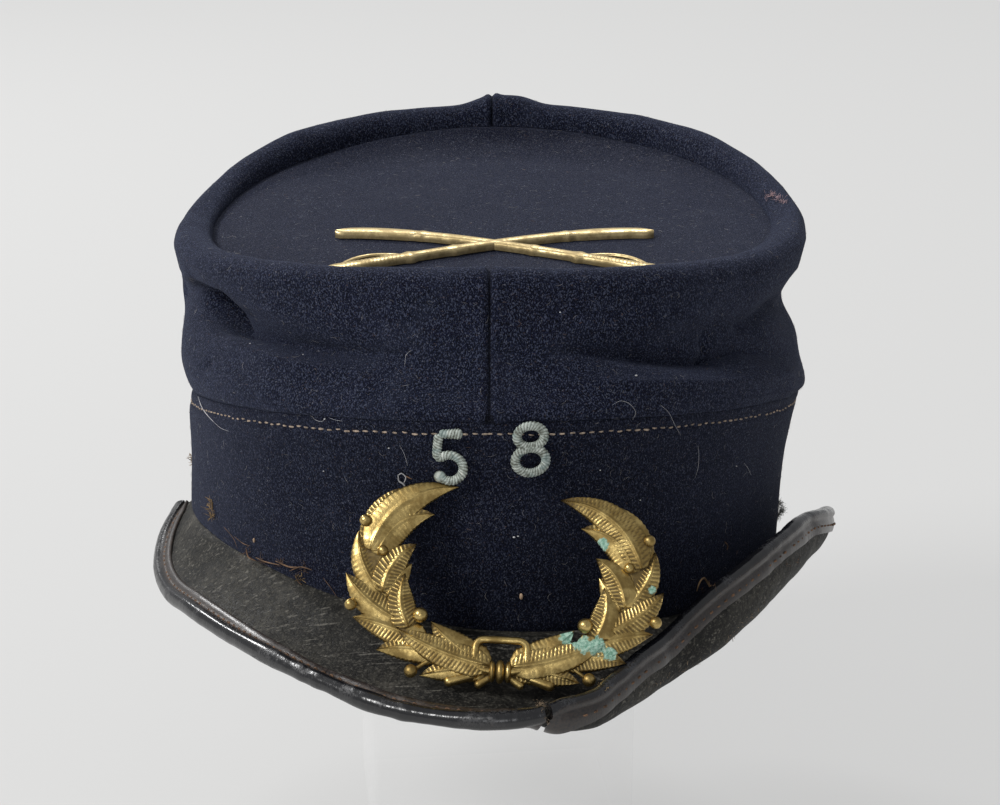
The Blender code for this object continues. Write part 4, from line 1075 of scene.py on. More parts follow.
def build_peak():
    angles, _ = even_angles(PEAK_START, PEAK_END, PEAK_STRIDE)
    shape = PeakShape(angles)
    shares = np.linspace(1.0, 0.0, 56)
    points, _, normals = shape.at(shares[:, None] * shape.length[None, :])
    push = peak_crumple(points, angles[None, :]) * step_up(shares, 0.0, 0.12)[:, None]
    push = push * step_up(1.0 - shares, 0.0, 0.08)[:, None]
    points = points + normals * push[..., None]
    out_x, out_y = outward(angles)
    root = points[:1] - np.stack([out_x, out_y, np.zeros_like(out_x)], axis=-1)[None] * BAND_WALL * 0.6
    obj = sheet("peak_leather", np.concatenate([root, points]))
    if sum(face.normal.z * face.area for face in obj.data.polygons) < 0:
        flipped(obj)
    walled(obj, SKIN)
    smooth(obj, 60)
    return piece(obj, leather_finish("peak_leather"), ["peak"])


peak = build_peak()


# Outline of the binding's section from the flange's inner edge over the bead, back underneath and along the inner
# face: inward as a share of the flange and as a share of the bead, and height as a share of the bead's half height.
# The first rows are the outer face.
BINDING_SECTION = (
    (1.00, 0.0, 0.56), (1.01, 0.0, 0.70), (0.99, 0.0, 0.84), (0.94, 0.0, 0.94), (0.86, 0.0, 0.985), (0.76, 0.0, 0.99),
    (0.66, 0.0, 0.96), (0.56, 0.0, 0.90), (0.48, 0.0, 0.83), (0.41, 0.0, 0.80), (0.34, 0.0, 0.83), (0.27, 0.0, 0.92),
    (0.19, 0.0, 1.01), (0.10, 0.0, 1.08), (0.02, 0.0, 1.11), (0.0, -0.14, 1.11), (0.0, -0.34, 1.05),
    (0.0, -0.54, 0.94), (0.0, -0.74, 0.78), (0.0, -0.92, 0.57), (0.0, -1.05, 0.32), (0.0, -1.12, 0.05),
    (0.0, -1.12, -0.22), (0.0, -1.06, -0.48), (0.0, -0.94, -0.72), (0.0, -0.74, -0.93), (0.0, -0.48, -1.06),
    (0.0, -0.18, -1.11), (0.04, 0.0, -1.08), (0.12, 0.0, -0.97), (0.18, 0.0, -0.85), (0.26, 0.0, -0.82),
    (0.36, 0.0, -0.88), (0.50, 0.0, -0.95), (0.70, 0.0, -0.98), (0.90, 0.0, -0.97), (1.00, 0.0, -0.93),
    (1.00, 0.0, -0.56), (0.5, 0.0, -0.56), (0.0, -0.13, -0.56), (0.0, -0.13, 0.0), (0.0, -0.13, 0.56),
    (0.5, 0.0, 0.56), (1.00, 0.0, 0.56),
)
OUTER_ROWS = 37


def build_binding(name, start, end, node, material):
    angles, arc = even_angles(start, end, BINDING_STRIDE)
    shape = PeakShape(angles)
    flange = np.minimum(BINDING_WIDTH - BINDING_BEAD, shape.length * 0.6)
    section = np.array(BINDING_SECTION)
    inward = section[:, :1] * flange[None, :] + section[:, 1:2] * ROLL
    points, _, normals = shape.at(inward)
    height = np.broadcast_to(section[:, 2:3] * ROLL, inward.shape)
    worn = step_up(angles, -34.0, -22.0) * (1.0 - step_up(angles, CRACK_ANGLE, CRACK_ANGLE + 1.0))
    top = (np.arange(len(section)) < 22)[:, None]
    height = np.where(top & (section[:, 2:3] > 0.6), height * (1.0 - 0.10 * worn[None, :]), height)
    grid = points + normals * (height - SKIN / 2)[..., None]
    face = surface_normals(grid)
    centre = grid[:OUTER_ROWS].mean(axis=0, keepdims=True)
    if (face[20] * (grid - centre)[20]).sum() < 0:
        face = -face
    rows = np.arange(len(section))
    outer_share = np.where(rows < OUTER_ROWS, 1.0, 0.0)[:, None]
    along_arc = np.broadcast_to(arc[None, :], inward.shape)
    places = np.stack([along_arc, np.broadcast_to(rows[:, None] * 0.00045, inward.shape), np.zeros(inward.shape)],
                      axis=-1)
    right = step_up(angles, CRACK_ANGLE - 1.0, CRACK_ANGLE + 1.0)
    on_bead = bell(rows - 17.0, 7.0)[:, None]
    wrinkle = noise(places * np.array([1.0, 0.22, 1.0]), 1100.0, 41) * (0.02 + 0.05 * right + 0.03 * worn) * on_bead
    fold = noise(places * np.array([1.0, 0.40, 1.0]), 330.0, 42) * (0.04 + 0.05 * right + 0.10 * worn)
    lump = noise(grid, 120.0, 43) * (0.10 + 0.10 * right + 0.34 * worn)
    ripple = bell(section[:, :1] - 0.75, 0.35) * worn[None, :] * noise(places, 150.0, 44) * 0.5
    push = (wrinkle + fold + lump + ripple) * 0.001 * outer_share
    rise = np.minimum(np.minimum(arc, arc[-1] - arc) / 0.0004, 1.0)
    grid = grid + face * (push * (0.4 + 0.6 * rise[None, :]))[..., None]
    obj = sheet(name, grid)
    mark(obj, "along", along_arc)
    mark(obj, "across", np.broadcast_to(rows[:, None] * 0.0004, inward.shape))
    flange_share = section[:, :1]
    groove = bell(flange_share - 0.42, 0.17) * (section[:, 2:3] > 0.5)
    groove = np.maximum(groove, 0.8 * bell(flange_share - 1.0, 0.10))
    groove = np.maximum(groove, 0.42 * step_up(flange_share, 0.48, 0.62)) * (rows < 15)[:, None]
    groove = np.maximum(groove, 0.35 * ((rows > 26) & (rows < OUTER_ROWS))[:, None])
    mark(obj, "groove", np.broadcast_to(groove, inward.shape))
    merged(obj, DOUBLES, filled=True)
    smooth(obj, 55)
    return piece(obj, material, [node])


left_leather = binding_finish("binding_left", (0.070, 0.068, 0.070), 0.55, (0.24, 0.55))
right_leather = binding_finish("binding_right", (0.070, 0.073, 0.084), 0.50, (0.20, 0.50))
binding_left = build_binding("binding_left_roll", PEAK_START + BINDING_SETBACK, CRACK_ANGLE - CRACK_GAP / 2,
                             "binding_left", left_leather)
binding_right = build_binding("binding_right_roll", CRACK_ANGLE + CRACK_GAP / 2, PEAK_END - BINDING_SETBACK,
                              "binding_right", right_leather)


# ---- Stitches
def capsule(name, length, radius):
    """One bent stitch, lying along X with its ends down."""
    deselect()
    bpy.ops.mesh.primitive_uv_sphere_add(segments=8, ring_count=6, radius=1.0, rotation=(0.0, math.pi / 2, 0.0))
    obj = apply_place(named(bpy.context.object, name))
    co = places_of(obj)
    co[:, 0] = np.sign(co[:, 0]) * np.abs(co[:, 0]) ** 0.7 * length / 2
    co[:, 1] *= radius
    co[:, 2] = co[:, 2] * radius * 0.8 - radius * 1.3 * (co[:, 0] / (length / 2)) ** 2
    obj.data.vertices.foreach_set("co", co.astype(np.float32).ravel())
    return smooth(obj)


def scattered(name, source, matrices):
    """Copies of one small object at each place, joined; the source goes."""
    copies = []
    for matrix in matrices:
        other = bpy.data.objects.new(name, source.data.copy())
        other.data.transform(matrix)
        scene.collection.objects.link(other)
        copies.append(other)
    bpy.data.objects.remove(source, do_unlink=True)
    return joined(name, copies)


def seated(place, along, normal, turn=0.0, size=1.0):
    """Place and turn of a small thing on a surface: X along, Z out of it."""
    z = Vector(normal).normalized()
    x = Vector(along)
    x = (x - z * x.dot(z)).normalized()
    y = z.cross(x)
    frame_of = Matrix((x, y, z)).transposed().to_4x4()
    return Matrix.Translation(place) @ frame_of @ Matrix.Rotation(turn, 4, "Z") @ Matrix.Scale(size, 4)


band_tree = tree_of(band)


def build_band_stitches():
    matrices = []
    angle = 0.0
    while angle < 360.0:
        top = band_top(angle)
        x, y = on_plan(angle, 0.0, 0.0)
        out_x, out_y = outward(angle)
        z = float(top - STITCH_DROP) + random.uniform(-0.00022, 0.00022)
        start = Vector((float(x) + float(out_x) * 0.02, float(y) + float(out_y) * 0.02, z))
        hit, normal, _, _ = band_tree.ray_cast(start, Vector((-float(out_x), -float(out_y), 0.0)))
        missing = random.random() < 0.05
        if hit is not None and not missing:
            if normal.dot(Vector((float(out_x), float(out_y), 0.0))) < 0:
                normal = -normal
            along = Vector((-float(out_y), float(out_x), -BAND_TOP_SLOPE / 0.09 * math.sin(math.radians(angle))))
            matrices.append(seated(hit + normal * STITCH_LIFT, along, normal, random.uniform(-0.10, 0.10),
                                   random.uniform(0.85, 1.12)))
        turn = math.radians(angle)
        speed = math.hypot(BAND_HALF_WIDTH * math.cos(turn), BAND_HALF_LENGTH * math.sin(turn))
        angle += math.degrees(STITCH_PITCH / speed) * random.uniform(0.94, 1.06)
    obj = scattered("band_stitches", capsule("stitch", STITCH_LENGTH, STITCH_RADIUS), matrices)
    return piece(obj, plain_finish("tan_thread", (0.300, 0.235, 0.180), 0.85, 0.5))


build_band_stitches()


# ---- The wreath
def wreath_place(pair, hand):
    height = WREATH_HEIGHT * (1.0 if hand > 0 else WREATH_DROOP)
    return Vector((hand * pair[0] * WREATH_WIDTH, pair[1] * height))


def paint_occlusion_shade(obj, reach=0.0026, strength=1.15):
    """Lower the relief where other parts of a casting stand close around a point: painted shade of occlusion, so that
    its hollows go brown.
    """
    tree = tree_of(obj)
    relief = obj.data.attributes["relief"].data
    turns = [math.radians(60.0 * k) for k in range(6)]
    for vertex in obj.data.vertices:
        normal = vertex.normal
        if normal.length < 0.5:
            continue
        across = normal.orthogonal().normalized()
        other = normal.cross(across)
        start = vertex.co + normal * 0.00012
        hits = 0.0
        for turn in turns:
            way = normal * 0.62 + (across * math.cos(turn) + other * math.sin(turn)) * 0.78
            distance = tree.ray_cast(start, way, reach)[3]
            if distance is not None:
                hits += 1.0 - 0.6 * distance / reach
        relief[vertex.index].value *= max(0.0, 1.0 - strength * hits / len(turns))


def wreath_leaf(name, base, tip, width, bow, lift, ribs):
    """One cast leaf: a midrib, thin raised rims and fine ribs between them."""
    rows, columns = 72, 27
    u = np.linspace(0.0, 1.0, rows)[:, None]
    v = np.linspace(-1.0, 1.0, columns)[None, :]
    base, tip = Vector(base), Vector(tip)
    length = (tip - base).length
    side = Vector((-(tip - base).y, (tip - base).x)) / length
    middle = (base + tip) / 2 + side * bow * length * 2
    spine_x = base.x * (1 - u) ** 2 + middle.x * 2 * u * (1 - u) + tip.x * u * u
    spine_y = base.y * (1 - u) ** 2 + middle.y * 2 * u * (1 - u) + tip.y * u * u
    along_x = (middle.x - base.x) * (1 - u) + (tip.x - middle.x) * u
    along_y = (middle.y - base.y) * (1 - u) + (tip.y - middle.y) * u
    size = np.hypot(along_x, along_y)
    across_x, across_y = -along_y / size, along_x / size
    narrowing = np.clip(1.0 - ((u - 0.34) / 0.66).clip(0.0) ** 2.1, 0.0, 1.0)
    outline = np.maximum(np.minimum((u / 0.16 + 0.10) ** 0.5, 1.0) * narrowing, 0.02)
    half = width / 2 * outline
    waves = 1.0 + 0.03 * np.sin(u * length / 0.0011 * math.pi * 2)
    offset = v * half * waves
    away = np.abs(v)
    keep = np.where(v < 0, 1.0 if ribs[0] else 0.0, 1.0 if ribs[1] else 0.0)
    dome = 0.00085 * (1.0 - away ** 2) * np.minimum(outline * 1.3, 1.0)
    rib = bell(v, 0.12) * 0.00036 * (1.0 - 0.5 * u)
    rim = bell(away - 0.92, 0.07) * 0.00014 * keep
    trough = -0.00020 * bell(away - 0.45, 0.33) * keep
    phase = u * length / 0.00092 - away * half / 0.0026
    field = step_up(away, 0.14, 0.26) * (1.0 - step_up(away, 0.84, 0.94))
    stripes = (0.5 + 0.5 * np.cos(2 * math.pi * phase)) * field * 0.00030 * keep * np.minimum(outline * 1.4, 1.0)
    edge = -0.00055 * step_up(away, 0.93, 1.0)
    curl = 0.0006 * (u - 0.5) ** 2 - 0.0002
    flatness = field * keep
    relief = 0.80 - 0.72 * flatness * (1.0 - stripes / 0.00030) - 0.35 * step_up(away, 0.95, 1.0)
    height = lift + dome + rib + rim + trough + stripes + edge + curl
    top = np.stack([spine_x + across_x * offset, spine_y + across_y * offset, height], axis=-1)
    under = top[:, ::-3].copy()
    under[..., 2] = np.minimum(lift - 0.0009 * np.minimum(outline * 2.0, 1.0) + curl, under[..., 2] - 0.00005)
    grid = np.concatenate([top, under, top[:, :1]], axis=1)
    obj = sheet(name, grid)
    low = np.full(under.shape[:2], 0.2)
    mark(obj, "relief", np.concatenate([np.broadcast_to(relief, height.shape), low, relief[:, :1]], axis=1))
    return merged(obj, CAST_DOUBLES, filled=True)


def tube(name, line, radius, flat=1.0, sides=12, rope=0.0, pitch=0.001, relief=0.75, ends=True):
    """A smooth round bar along a flat line, with closed rounded ends and, if asked, rope ribs."""
    line = np.asarray(line, float)
    if line.shape[1] == 2:
        line = np.column_stack([line, np.zeros(len(line))])
    steps = np.linalg.norm(np.diff(line, axis=0), axis=1)
    walked = np.concatenate([[0.0], np.cumsum(steps)])
    count = max(8, int(walked[-1] / 0.00022))
    s = np.linspace(0.0, walked[-1], count)
    spine = np.stack([np.interp(s, walked, line[:, k]) for k in range(3)], axis=-1)
    for _ in range(3):
        spine[1:-1] = (spine[:-2] + spine[1:-1] * 2 + spine[2:]) / 4
    radii = np.interp(s, walked, radius) if np.ndim(radius) else np.full(count, float(radius))
    if ends:
        cap = np.minimum(s, s[-1] - s) / np.maximum(radii, 1e-6)
        radii = radii * np.sqrt(np.clip(1.0 - (1.0 - np.minimum(cap, 1.0)) ** 2, 0.0, 1.0))
        radii = np.maximum(radii, 0.00002)
    along = np.gradient(spine, axis=0)
    along /= np.linalg.norm(along, axis=1, keepdims=True)
    up = np.array([0.0, 0.0, 1.0])
    across = np.cross(up, along)
    across /= np.maximum(np.linalg.norm(across, axis=1, keepdims=True), 1e-9)
    turn = np.linspace(0.0, 2 * math.pi, sides + 1)
    ribs = rope * (0.5 + 0.5 * np.cos(2 * math.pi * s[:, None] / pitch + 3.0 * turn[None, :]))
    size = radii[:, None] * (1.0 + ribs)
    grid = (spine[:, None] + across[:, None] * (np.cos(turn)[None, :] * size)[..., None]
            + up[None, None] * (np.sin(turn)[None, :] * size * flat)[..., None])
    grid[:, -1] = grid[:, 0]
    obj = sheet(name, grid)
    high = 0.35 + 0.65 * (ribs / max(rope, 1e-9)) if rope else np.full_like(size, relief)
    mark(obj, "relief", high)
    return merged(obj, CAST_DOUBLES, filled=True)


def ball(name, place, size, relief=0.8, segments=20, rings=12):
    """A rounded lump, size given along three axes."""
    deselect()
    bpy.ops.mesh.primitive_uv_sphere_add(segments=segments, ring_count=rings, radius=0.5)
    obj = named(bpy.context.object, name)
    obj.data.transform(Matrix.Translation(place) @ Matrix.Diagonal((*size, 1.0)))
    co = places_of(obj)
    return mark(obj, "relief", np.clip(relief + (co[:, 2] - place[2]) / size[2] * 0.5, 0.0, 1.0))


def smooth_line(points, count=40):
    """A smooth flat line through points."""
    points = np.asarray(points, float)
    walked = np.concatenate([[0.0], np.cumsum(np.linalg.norm(np.diff(points, axis=0), axis=1))])
    s = np.linspace(0.0, walked[-1], count)
    return np.stack([cubic(walked, points[:, k], s) for k in range(points.shape[1])], axis=-1)


WREATH_FOOT = (WREATH_OFFSET, -BAND_HALF_LENGTH - WREATH_REACH, float(band_foot(0.0)) + WREATH_LIFT)
WREATH_AT = (Matrix.Translation(WREATH_FOOT)
             @ Matrix.Rotation(math.radians(90.0 - WREATH_LEAN), 4, "X")
             @ Matrix.Rotation(math.radians(WREATH_TURN), 4, "Z"))


def build_wreath():
    parts = []
    for hand in (1, -1):
        stem = smooth_line([wreath_place(pair, hand) for pair in STEM])
        radii = np.linspace(0.0012, 0.0034, len(stem))
        parts.append(tube(f"plate_{hand}", stem, radii, 0.14, sides=14, relief=0.25))
        for i, leaf in enumerate(LEAVES):
            if i:
                ribs = ((True, True), (True, False), (False, True))[(i * 2 + (hand > 0)) % 3]
            else:
                ribs = (hand < 0, hand < 0)
            parts.append(wreath_leaf(f"leaf_{i}", wreath_place(leaf["base"], hand), wreath_place(leaf["tip"], hand),
                                     leaf["width"] * LEAF_WIDTH * 1.34, hand * leaf["bow"],
                                     leaf["lift"] * LEAF_THICKNESS, ribs))
        for stalk in STALKS:
            ends = [wreath_place(stalk[end], hand) for end in ("base", "tip")]
            wide = stalk["width"] * LEAF_WIDTH / 2
            parts.append(tube("stalk", ends, [wide * 0.8, wide], sides=12, relief=0.7))
        for berry in BERRIES:
            root, at = wreath_place(berry["root"], hand), wreath_place(berry["at"], hand)
            parts.append(tube("berry_stalk", [root, at], BERRY_STALK * 0.42, sides=8, relief=0.5))
            size = berry["size"] * BERRY_DIAMETER
            parts.append(ball("berry", (at.x, at.y, 0.0010), (size, size, size)))
    half = LOOP_WIDTH / 2 - LOOP_WIRE * 0.1
    top = LOOP_HEIGHT * 0.95
    loop = []
    for cx, first in ((half - LOOP_BEND, 0.0), (-half + LOOP_BEND, 90.0)):
        for k in range(9):
            turn = math.radians(first + k * 90.0 / 8)
            loop.append((cx + LOOP_BEND * math.cos(turn), top - LOOP_BEND + LOOP_BEND * math.sin(turn)))
    foot = [(0.0012, -0.0002), (half - 0.0016, 0.0002), (half - 0.0004, 0.0010), (half, 0.0022)]
    loop = foot + loop + [(-x, y) for x, y in reversed(foot)]
    wire = tube("loop", smooth_line(loop, 90), LOOP_WIRE / 2 * 1.08, sides=14, relief=0.85)
    wire.data.transform(Matrix.Translation((0.0, 0.0, 0.0009)))
    parts.append(wire)
    for x, wide, tall in ((0.0, 0.0024, 1.0), (-0.0018, 0.0018, 0.90), (0.0018, 0.0018, 0.90)):
        size = (wide, KNOT_DIAMETER * tall, KNOT_DIAMETER * 0.85 * tall)
        parts.append(ball("wrap", (x, -0.0001, 0.0004), size, 0.6))
    obj = joined("wreath_cast", parts)
    # Painted shade of occlusion, stored in the relief where parts of the casting stand close.
    paint_occlusion_shade(obj)
    obj.data.transform(WREATH_AT)
    smooth(obj, 70)
    cast = tree_of(obj)
    greens = []
    for px, py, reach in ((568, 637, 0.0030), (582, 643, 0.0036), (597, 646, 0.0034), (610, 654, 0.0026),
                          (592, 541, 0.0020), (603, 545, 0.0024), (652, 590, 0.0016)):
        at, _ = spot(cast, px, py)
        if at is not None:
            greens.append((at, reach))
    return piece(obj, brass_finish("wreath_brass", green_spots=greens), ["wreath"])


build_wreath()


# ---- Numerals
def numeral_place(x, height):
    angle = math.degrees(math.asin(x / BAND_HALF_WIDTH))
    _, y = on_plan(angle, 0.0, 0.0)
    out_x, out_y = outward(angle)
    place = Vector((x, float(y), height)) + Vector((float(out_x), float(out_y), 0.0)) * (
        NUMERAL_STANDOFF + NUMERAL_THICKNESS / 2)
    facing_turn = Matrix.Rotation(math.atan2(float(out_x), -float(out_y)), 4, "Z")
    return Matrix.Translation(place) @ facing_turn @ Matrix.Rotation(math.radians(90.0), 4, "X")


def ring_line(unit, centre, wide, tall, count=48):
    turn = np.linspace(0.0, 2 * math.pi, count + 1)
    return np.stack([unit * wide * np.cos(turn), unit * (centre + tall * np.sin(turn))], axis=-1)


def build_numerals():
    unit = NUMERAL_HEIGHT
    flat = NUMERAL_THICKNESS / NUMERAL_STROKE
    green = verdigris_finish("numeral_crust")
    bar = NUMERAL_STROKE / 2 * 0.84
    parts = [tube("ring", ring_line(unit, centre, wide, tall), bar, flat, 30, 0.24, RIB_PITCH, ends=False)
             for centre, wide, tall in ((0.235, 0.235, 0.19), (-0.205, 0.265, 0.225))]
    eight = joined("numeral_eight", parts)
    eight.data.transform(numeral_place(NUMERAL_SPACING / 2, float(band_top(0.0)) - EIGHT_DROP))
    piece(smooth(eight, 70), green, ["numeral_8"])
    points = [(0.25, 0.44), (0.05, 0.425), (-0.16, 0.42), (-0.18, 0.24), (-0.20, 0.04)]
    bowl = []
    for i in range(25):
        turn = math.radians(135.0 - 270.0 * i / 24)
        bowl.append((0.02 + 0.235 * math.cos(turn), -0.19 + 0.235 * math.sin(turn)))
    parts = [tube("flag", [(unit * x, unit * y) for x, y in points[:3]], [0.00120, 0.00100, 0.0009], flat, 30, 0.22,
                  RIB_PITCH),
             tube("stroke", [(unit * x, unit * y) for x, y in points[2:] + bowl], bar, flat, 30, 0.24, RIB_PITCH),
             ball("end", (unit * bowl[-1][0], unit * bowl[-1][1], 0.0),
                  (NUMERAL_STROKE * 1.3, NUMERAL_STROKE * 1.3, NUMERAL_THICKNESS * 1.15), 0.5)]
    five = joined("numeral_five", parts)
    five.data.transform(numeral_place(-NUMERAL_SPACING / 2, float(band_top(0.0)) - FIVE_DROP))
    piece(smooth(five, 70), green, ["numeral_5"])


build_numerals()


# ---- Crossed sabres on the sunken top
def sabre_sheet(side):
    tip_at = Vector((-side * SABRE_LENGTH / 2, SABRE_SPREAD / 2))
    hilt = Vector((side * SABRE_LENGTH / 2, -SABRE_SPREAD / 2))
    along = (hilt - tip_at).normalized()
    across = Vector((-along.y, along.x)) * side
    share = np.linspace(0.0, 1.0, SABRE_POINTS)
    width = np.interp(share, *np.array(SABRE_WIDTHS).T) * SABRE_WIDTH * 0.68
    for _ in range(2):
        width[1:-1] = (width[:-2] + 2 * width[1:-1] + width[2:]) / 4
    width *= np.sqrt(np.clip(1 - (1 - np.minimum(np.minimum(share, 1 - share) / 0.024, 1.0)) ** 2, 0.02, 1.0))
    bow = SABRE_BOW * np.sin(math.pi * share ** 0.62)
    spine_x = tip_at.x + (hilt.x - tip_at.x) * share + across.x * bow
    spine_y = tip_at.y + (hilt.y - tip_at.y) * share + across.y * bow
    half = SABRE_THICKNESS * 0.62
    section = [(-1.0, -1.0), (-1.0, -0.2), (-0.93, 0.35), (-0.72, 0.72), (-0.42, 0.93), (0.0, 1.0), (0.42, 0.93),
               (0.72, 0.72), (0.93, 0.35), (1.0, -0.2), (1.0, -1.0), (0.0, -1.0), (-1.0, -1.0)]
    high = np.ones_like(share)
    for at in SABRE_RINGS:
        high += 0.14 * bell(share - at, 0.010)
    grip = (share > SABRE_GRIP[0]) & (share < SABRE_GRIP[1])
    high = high + np.where(grip, 0.10 * np.cos(share / 0.012 * 2 * math.pi), 0.0)
    grid = np.array([[(spine_x[k] + across.x * s * width[k], spine_y[k] + across.y * s * width[k],
                       h * half * (high[k] if h > 0 else 1.0)) for s, h in section] for k in range(len(share))])
    obj = sheet(f"sabre_{side}", grid)
    relief = np.array([[0.55 + 0.45 * max(h, 0.0) if abs(s) < 0.9 else 0.30 for s, h in section] for _ in share])
    mark(obj, "relief", relief)
    merged(obj, CAST_DOUBLES, filled=True)
    ends = [int(at * (SABRE_POINTS - 1)) for at in GUARD_ENDS]
    start, end = (Vector((spine_x[k], spine_y[k])) for k in ends)
    bulge = (start + end) / 2 + across * SABRE_WIDTH * 4.2
    guard = []
    for i in range(25):
        t = i / 24
        at = start * (1 - t) ** 2 + bulge * 2 * t * (1 - t) + end * t * t
        guard.append((at.x, at.y, -SABRE_THICKNESS * 0.15))
    return [obj, tube(f"guard_{side}", guard, GUARD_WIRE / 2 * 1.5, 0.8, 12, relief=0.7)]


def build_sabres():
    obj = joined("sabres_stamped", sabre_sheet(1) + sabre_sheet(-1))
    height = TIP_TOP + SABRE_REST + SABRE_THICKNESS / 2
    obj.data.transform(Matrix.Translation((SABRE_OFFSET, -SABRE_FORWARD, height)))
    smooth(obj, 60)
    finish = brass_finish("sabre_brass", (0.78, 0.62, 0.33), (0.44, 0.34, 0.17), (0.06, 0.045, 0.022), low=0.32,
                          high=0.55)
    return piece(obj, finish, ["crossed_sabres"])


build_sabres()


# ---- The clear riser
def clear_finish():
    f = Finish("clear_riser", Base_Color=(0.97, 0.97, 0.97), Roughness=0.08, Specular_IOR_Level=0.15)
    # Painted reflection: the riser turns a more opaque white towards its grazing edges, standing in for the plastic's
    # reflection.
    grazing_reflection = f.add("LayerWeight", Blend=0.25).outputs["Facing"]
    above_foot = f.math("GREATER_THAN", f.add("SeparateXYZ", Vector=f.places).outputs[2], 0.002)
    f.put(f.shader, "Alpha", f.times(above_foot, f.spread(grazing_reflection, 0.50, 1.0, 0.03, 0.30)))
    return f.material


stand = bpy.data.objects["stand"]
for slot in stand.material_slots:
    slot.material = clear_finish()
stand.visible_shadow = False


# ---- Lint, hairs and loose threads
cloth_tree = tree_of(crown_left, crown_right, band)
all_tree = tree_of(crown_left, crown_right, band, tip, peak, binding_left, binding_right)


def traced(pixels, lift=0.0003, tree=None):
    """A line laid on the surface along places in the picture."""
    line = []
    for px, py in pixels:
        point, _ = spot(tree or all_tree, px, py, lift)
        if point is not None:
            line.append(point)
    return line


def smoothed(line, per=5):
    if len(line) < 3:
        return line
    return [Vector(p) for p in smooth_line([tuple(p) for p in line], (len(line) - 1) * per + 1)]


def surface_lines(objs, count, low, high, bend, lift):
    """Short random fibres lying on the outer and upper faces of some pieces."""
    faces = [poly for obj in objs for poly in obj.data.polygons if poly.area > 1e-10]
    weights = np.array([poly.area for poly in faces])
    chosen = rng.choice(len(faces), size=count * 2, p=weights / weights.sum())
    lines = []
    for i in chosen:
        normal = faces[i].normal
        centre = faces[i].center
        if normal.dot(Vector((centre.x, centre.y, 0.0)).normalized()) <= 0.05 and normal.z <= 0.6:
            continue
        side = normal.orthogonal().normalized()
        turn = random.uniform(0.0, 2 * math.pi)
        a = side * math.cos(turn) + normal.cross(side) * math.sin(turn)
        b = normal.cross(a)
        length = random.uniform(low, high)
        swing = random.uniform(-bend, bend)
        line = []
        for k in range(4):
            t = k / 3 - 0.5
            line.append(centre + normal * (lift * random.uniform(0.4, 1.2)) + a * length * t
                        + b * length * swing * (t * t * 4 - 1) * 0.5)
        lines.append(line)
        if len(lines) == count:
            break
    return lines


def trim(name, lines, radii, finish):
    """Threads or hairs as one piece; two radii for many lines are the ends of a random range."""
    if isinstance(radii, tuple):
        radii = [random.uniform(*radii) for _ in lines]
    return piece(strands(name, lines, radii), finish)


def build_lint():
    cloths = [crown_left, crown_right, band, tip]
    trim("pale_lint", surface_lines(cloths, 2200, 0.0006, 0.0022, 0.8, 0.00018), (0.000014, 0.000034),
         plain_finish("pale_lint", (0.20, 0.19, 0.19), 0.9, 0.6, 400.0))
    trim("brown_lint", surface_lines(cloths, 300, 0.0005, 0.0014, 0.6, 0.00016), (0.000018, 0.00004),
         plain_finish("brown_lint", (0.115, 0.070, 0.050), 0.9, 0.6, 400.0))
    white = [smoothed(traced(pixels)) for pixels in (
        ((199, 397), (203, 407), (209, 416), (215, 422)), ((215, 422), (222, 428), (230, 431)),
        ((312, 415), (317, 420), (323, 421), (326, 418)), ((330, 418), (336, 420), (343, 421)),
        ((412, 350), (407, 355), (406, 361), (405, 367)), ((400, 445), (404, 452), (406, 458), (408, 465)),
        ((612, 405), (620, 401), (629, 404), (635, 412), (632, 420)),
        ((660, 405), (668, 412), (674, 424), (680, 435)), ((697, 445), (698, 456), (697, 468), (694, 478)),
        ((743, 463), (747, 468), (750, 475)))]
    trim("white_fibres", white, [0.00010, 0.00004] + [0.000035] * 8,
         plain_finish("white_fibre", (0.50, 0.50, 0.52), 0.85, 0.2, 400.0))
    thick = [smoothed(traced(((399, 474), (400, 480), (404, 483), (407, 487), (410, 490)), 0.0006)),
             smoothed(traced(((399, 474), (403, 472), (407, 476), (405, 482)), 0.0009))]
    trim("grey_curl", thick, [0.00022, 0.00016], plain_finish("grey_thread", (0.36, 0.36, 0.37), 0.85, 0.3, 500.0))


build_lint()


def sight_at(px, py, y):
    """The point that shows at a place in the picture, as far back as the given Y."""
    way = line_of_sight(px, py)
    return EYE + way * ((y - EYE.y) / way.y)


def tuft(places, count, low, high, way=(0.0, -0.3, 0.4), loose=0.9):
    """Bent hairs that start near given points."""
    lines = []
    for _ in range(count):
        start = random.choice(places) + Vector([random.gauss(0.0, 0.0004) for _ in range(3)])
        heading = (Vector(way) + Vector([random.gauss(0.0, loose) for _ in range(3)])).normalized()
        length = random.uniform(low, high)
        bend = Vector([random.gauss(0.0, 0.6) for _ in range(3)])
        lines.append([start + heading * (length * k / 4) + bend * length * (k / 4) ** 2 * 0.4 for k in range(5)])
    return lines


def crumb_line(pixels, radius, tree=None):
    """One loose thread through places in the picture, raised a little off the surface, and its radius."""
    return smoothed(traced(pixels, 0.0006 + radius, tree)), radius


def lumps(name, places, lift, segments, rings, finish):
    """Rounded lumps on the surface at places in the picture, as one piece."""
    balls = []
    for px, py, size in places:
        at, _ = spot(all_tree, px, py, lift)
        if at is not None:
            balls.append(ball(name, at, size, 0.5, segments, rings))
    return piece(smooth(joined(name, balls)), finish)


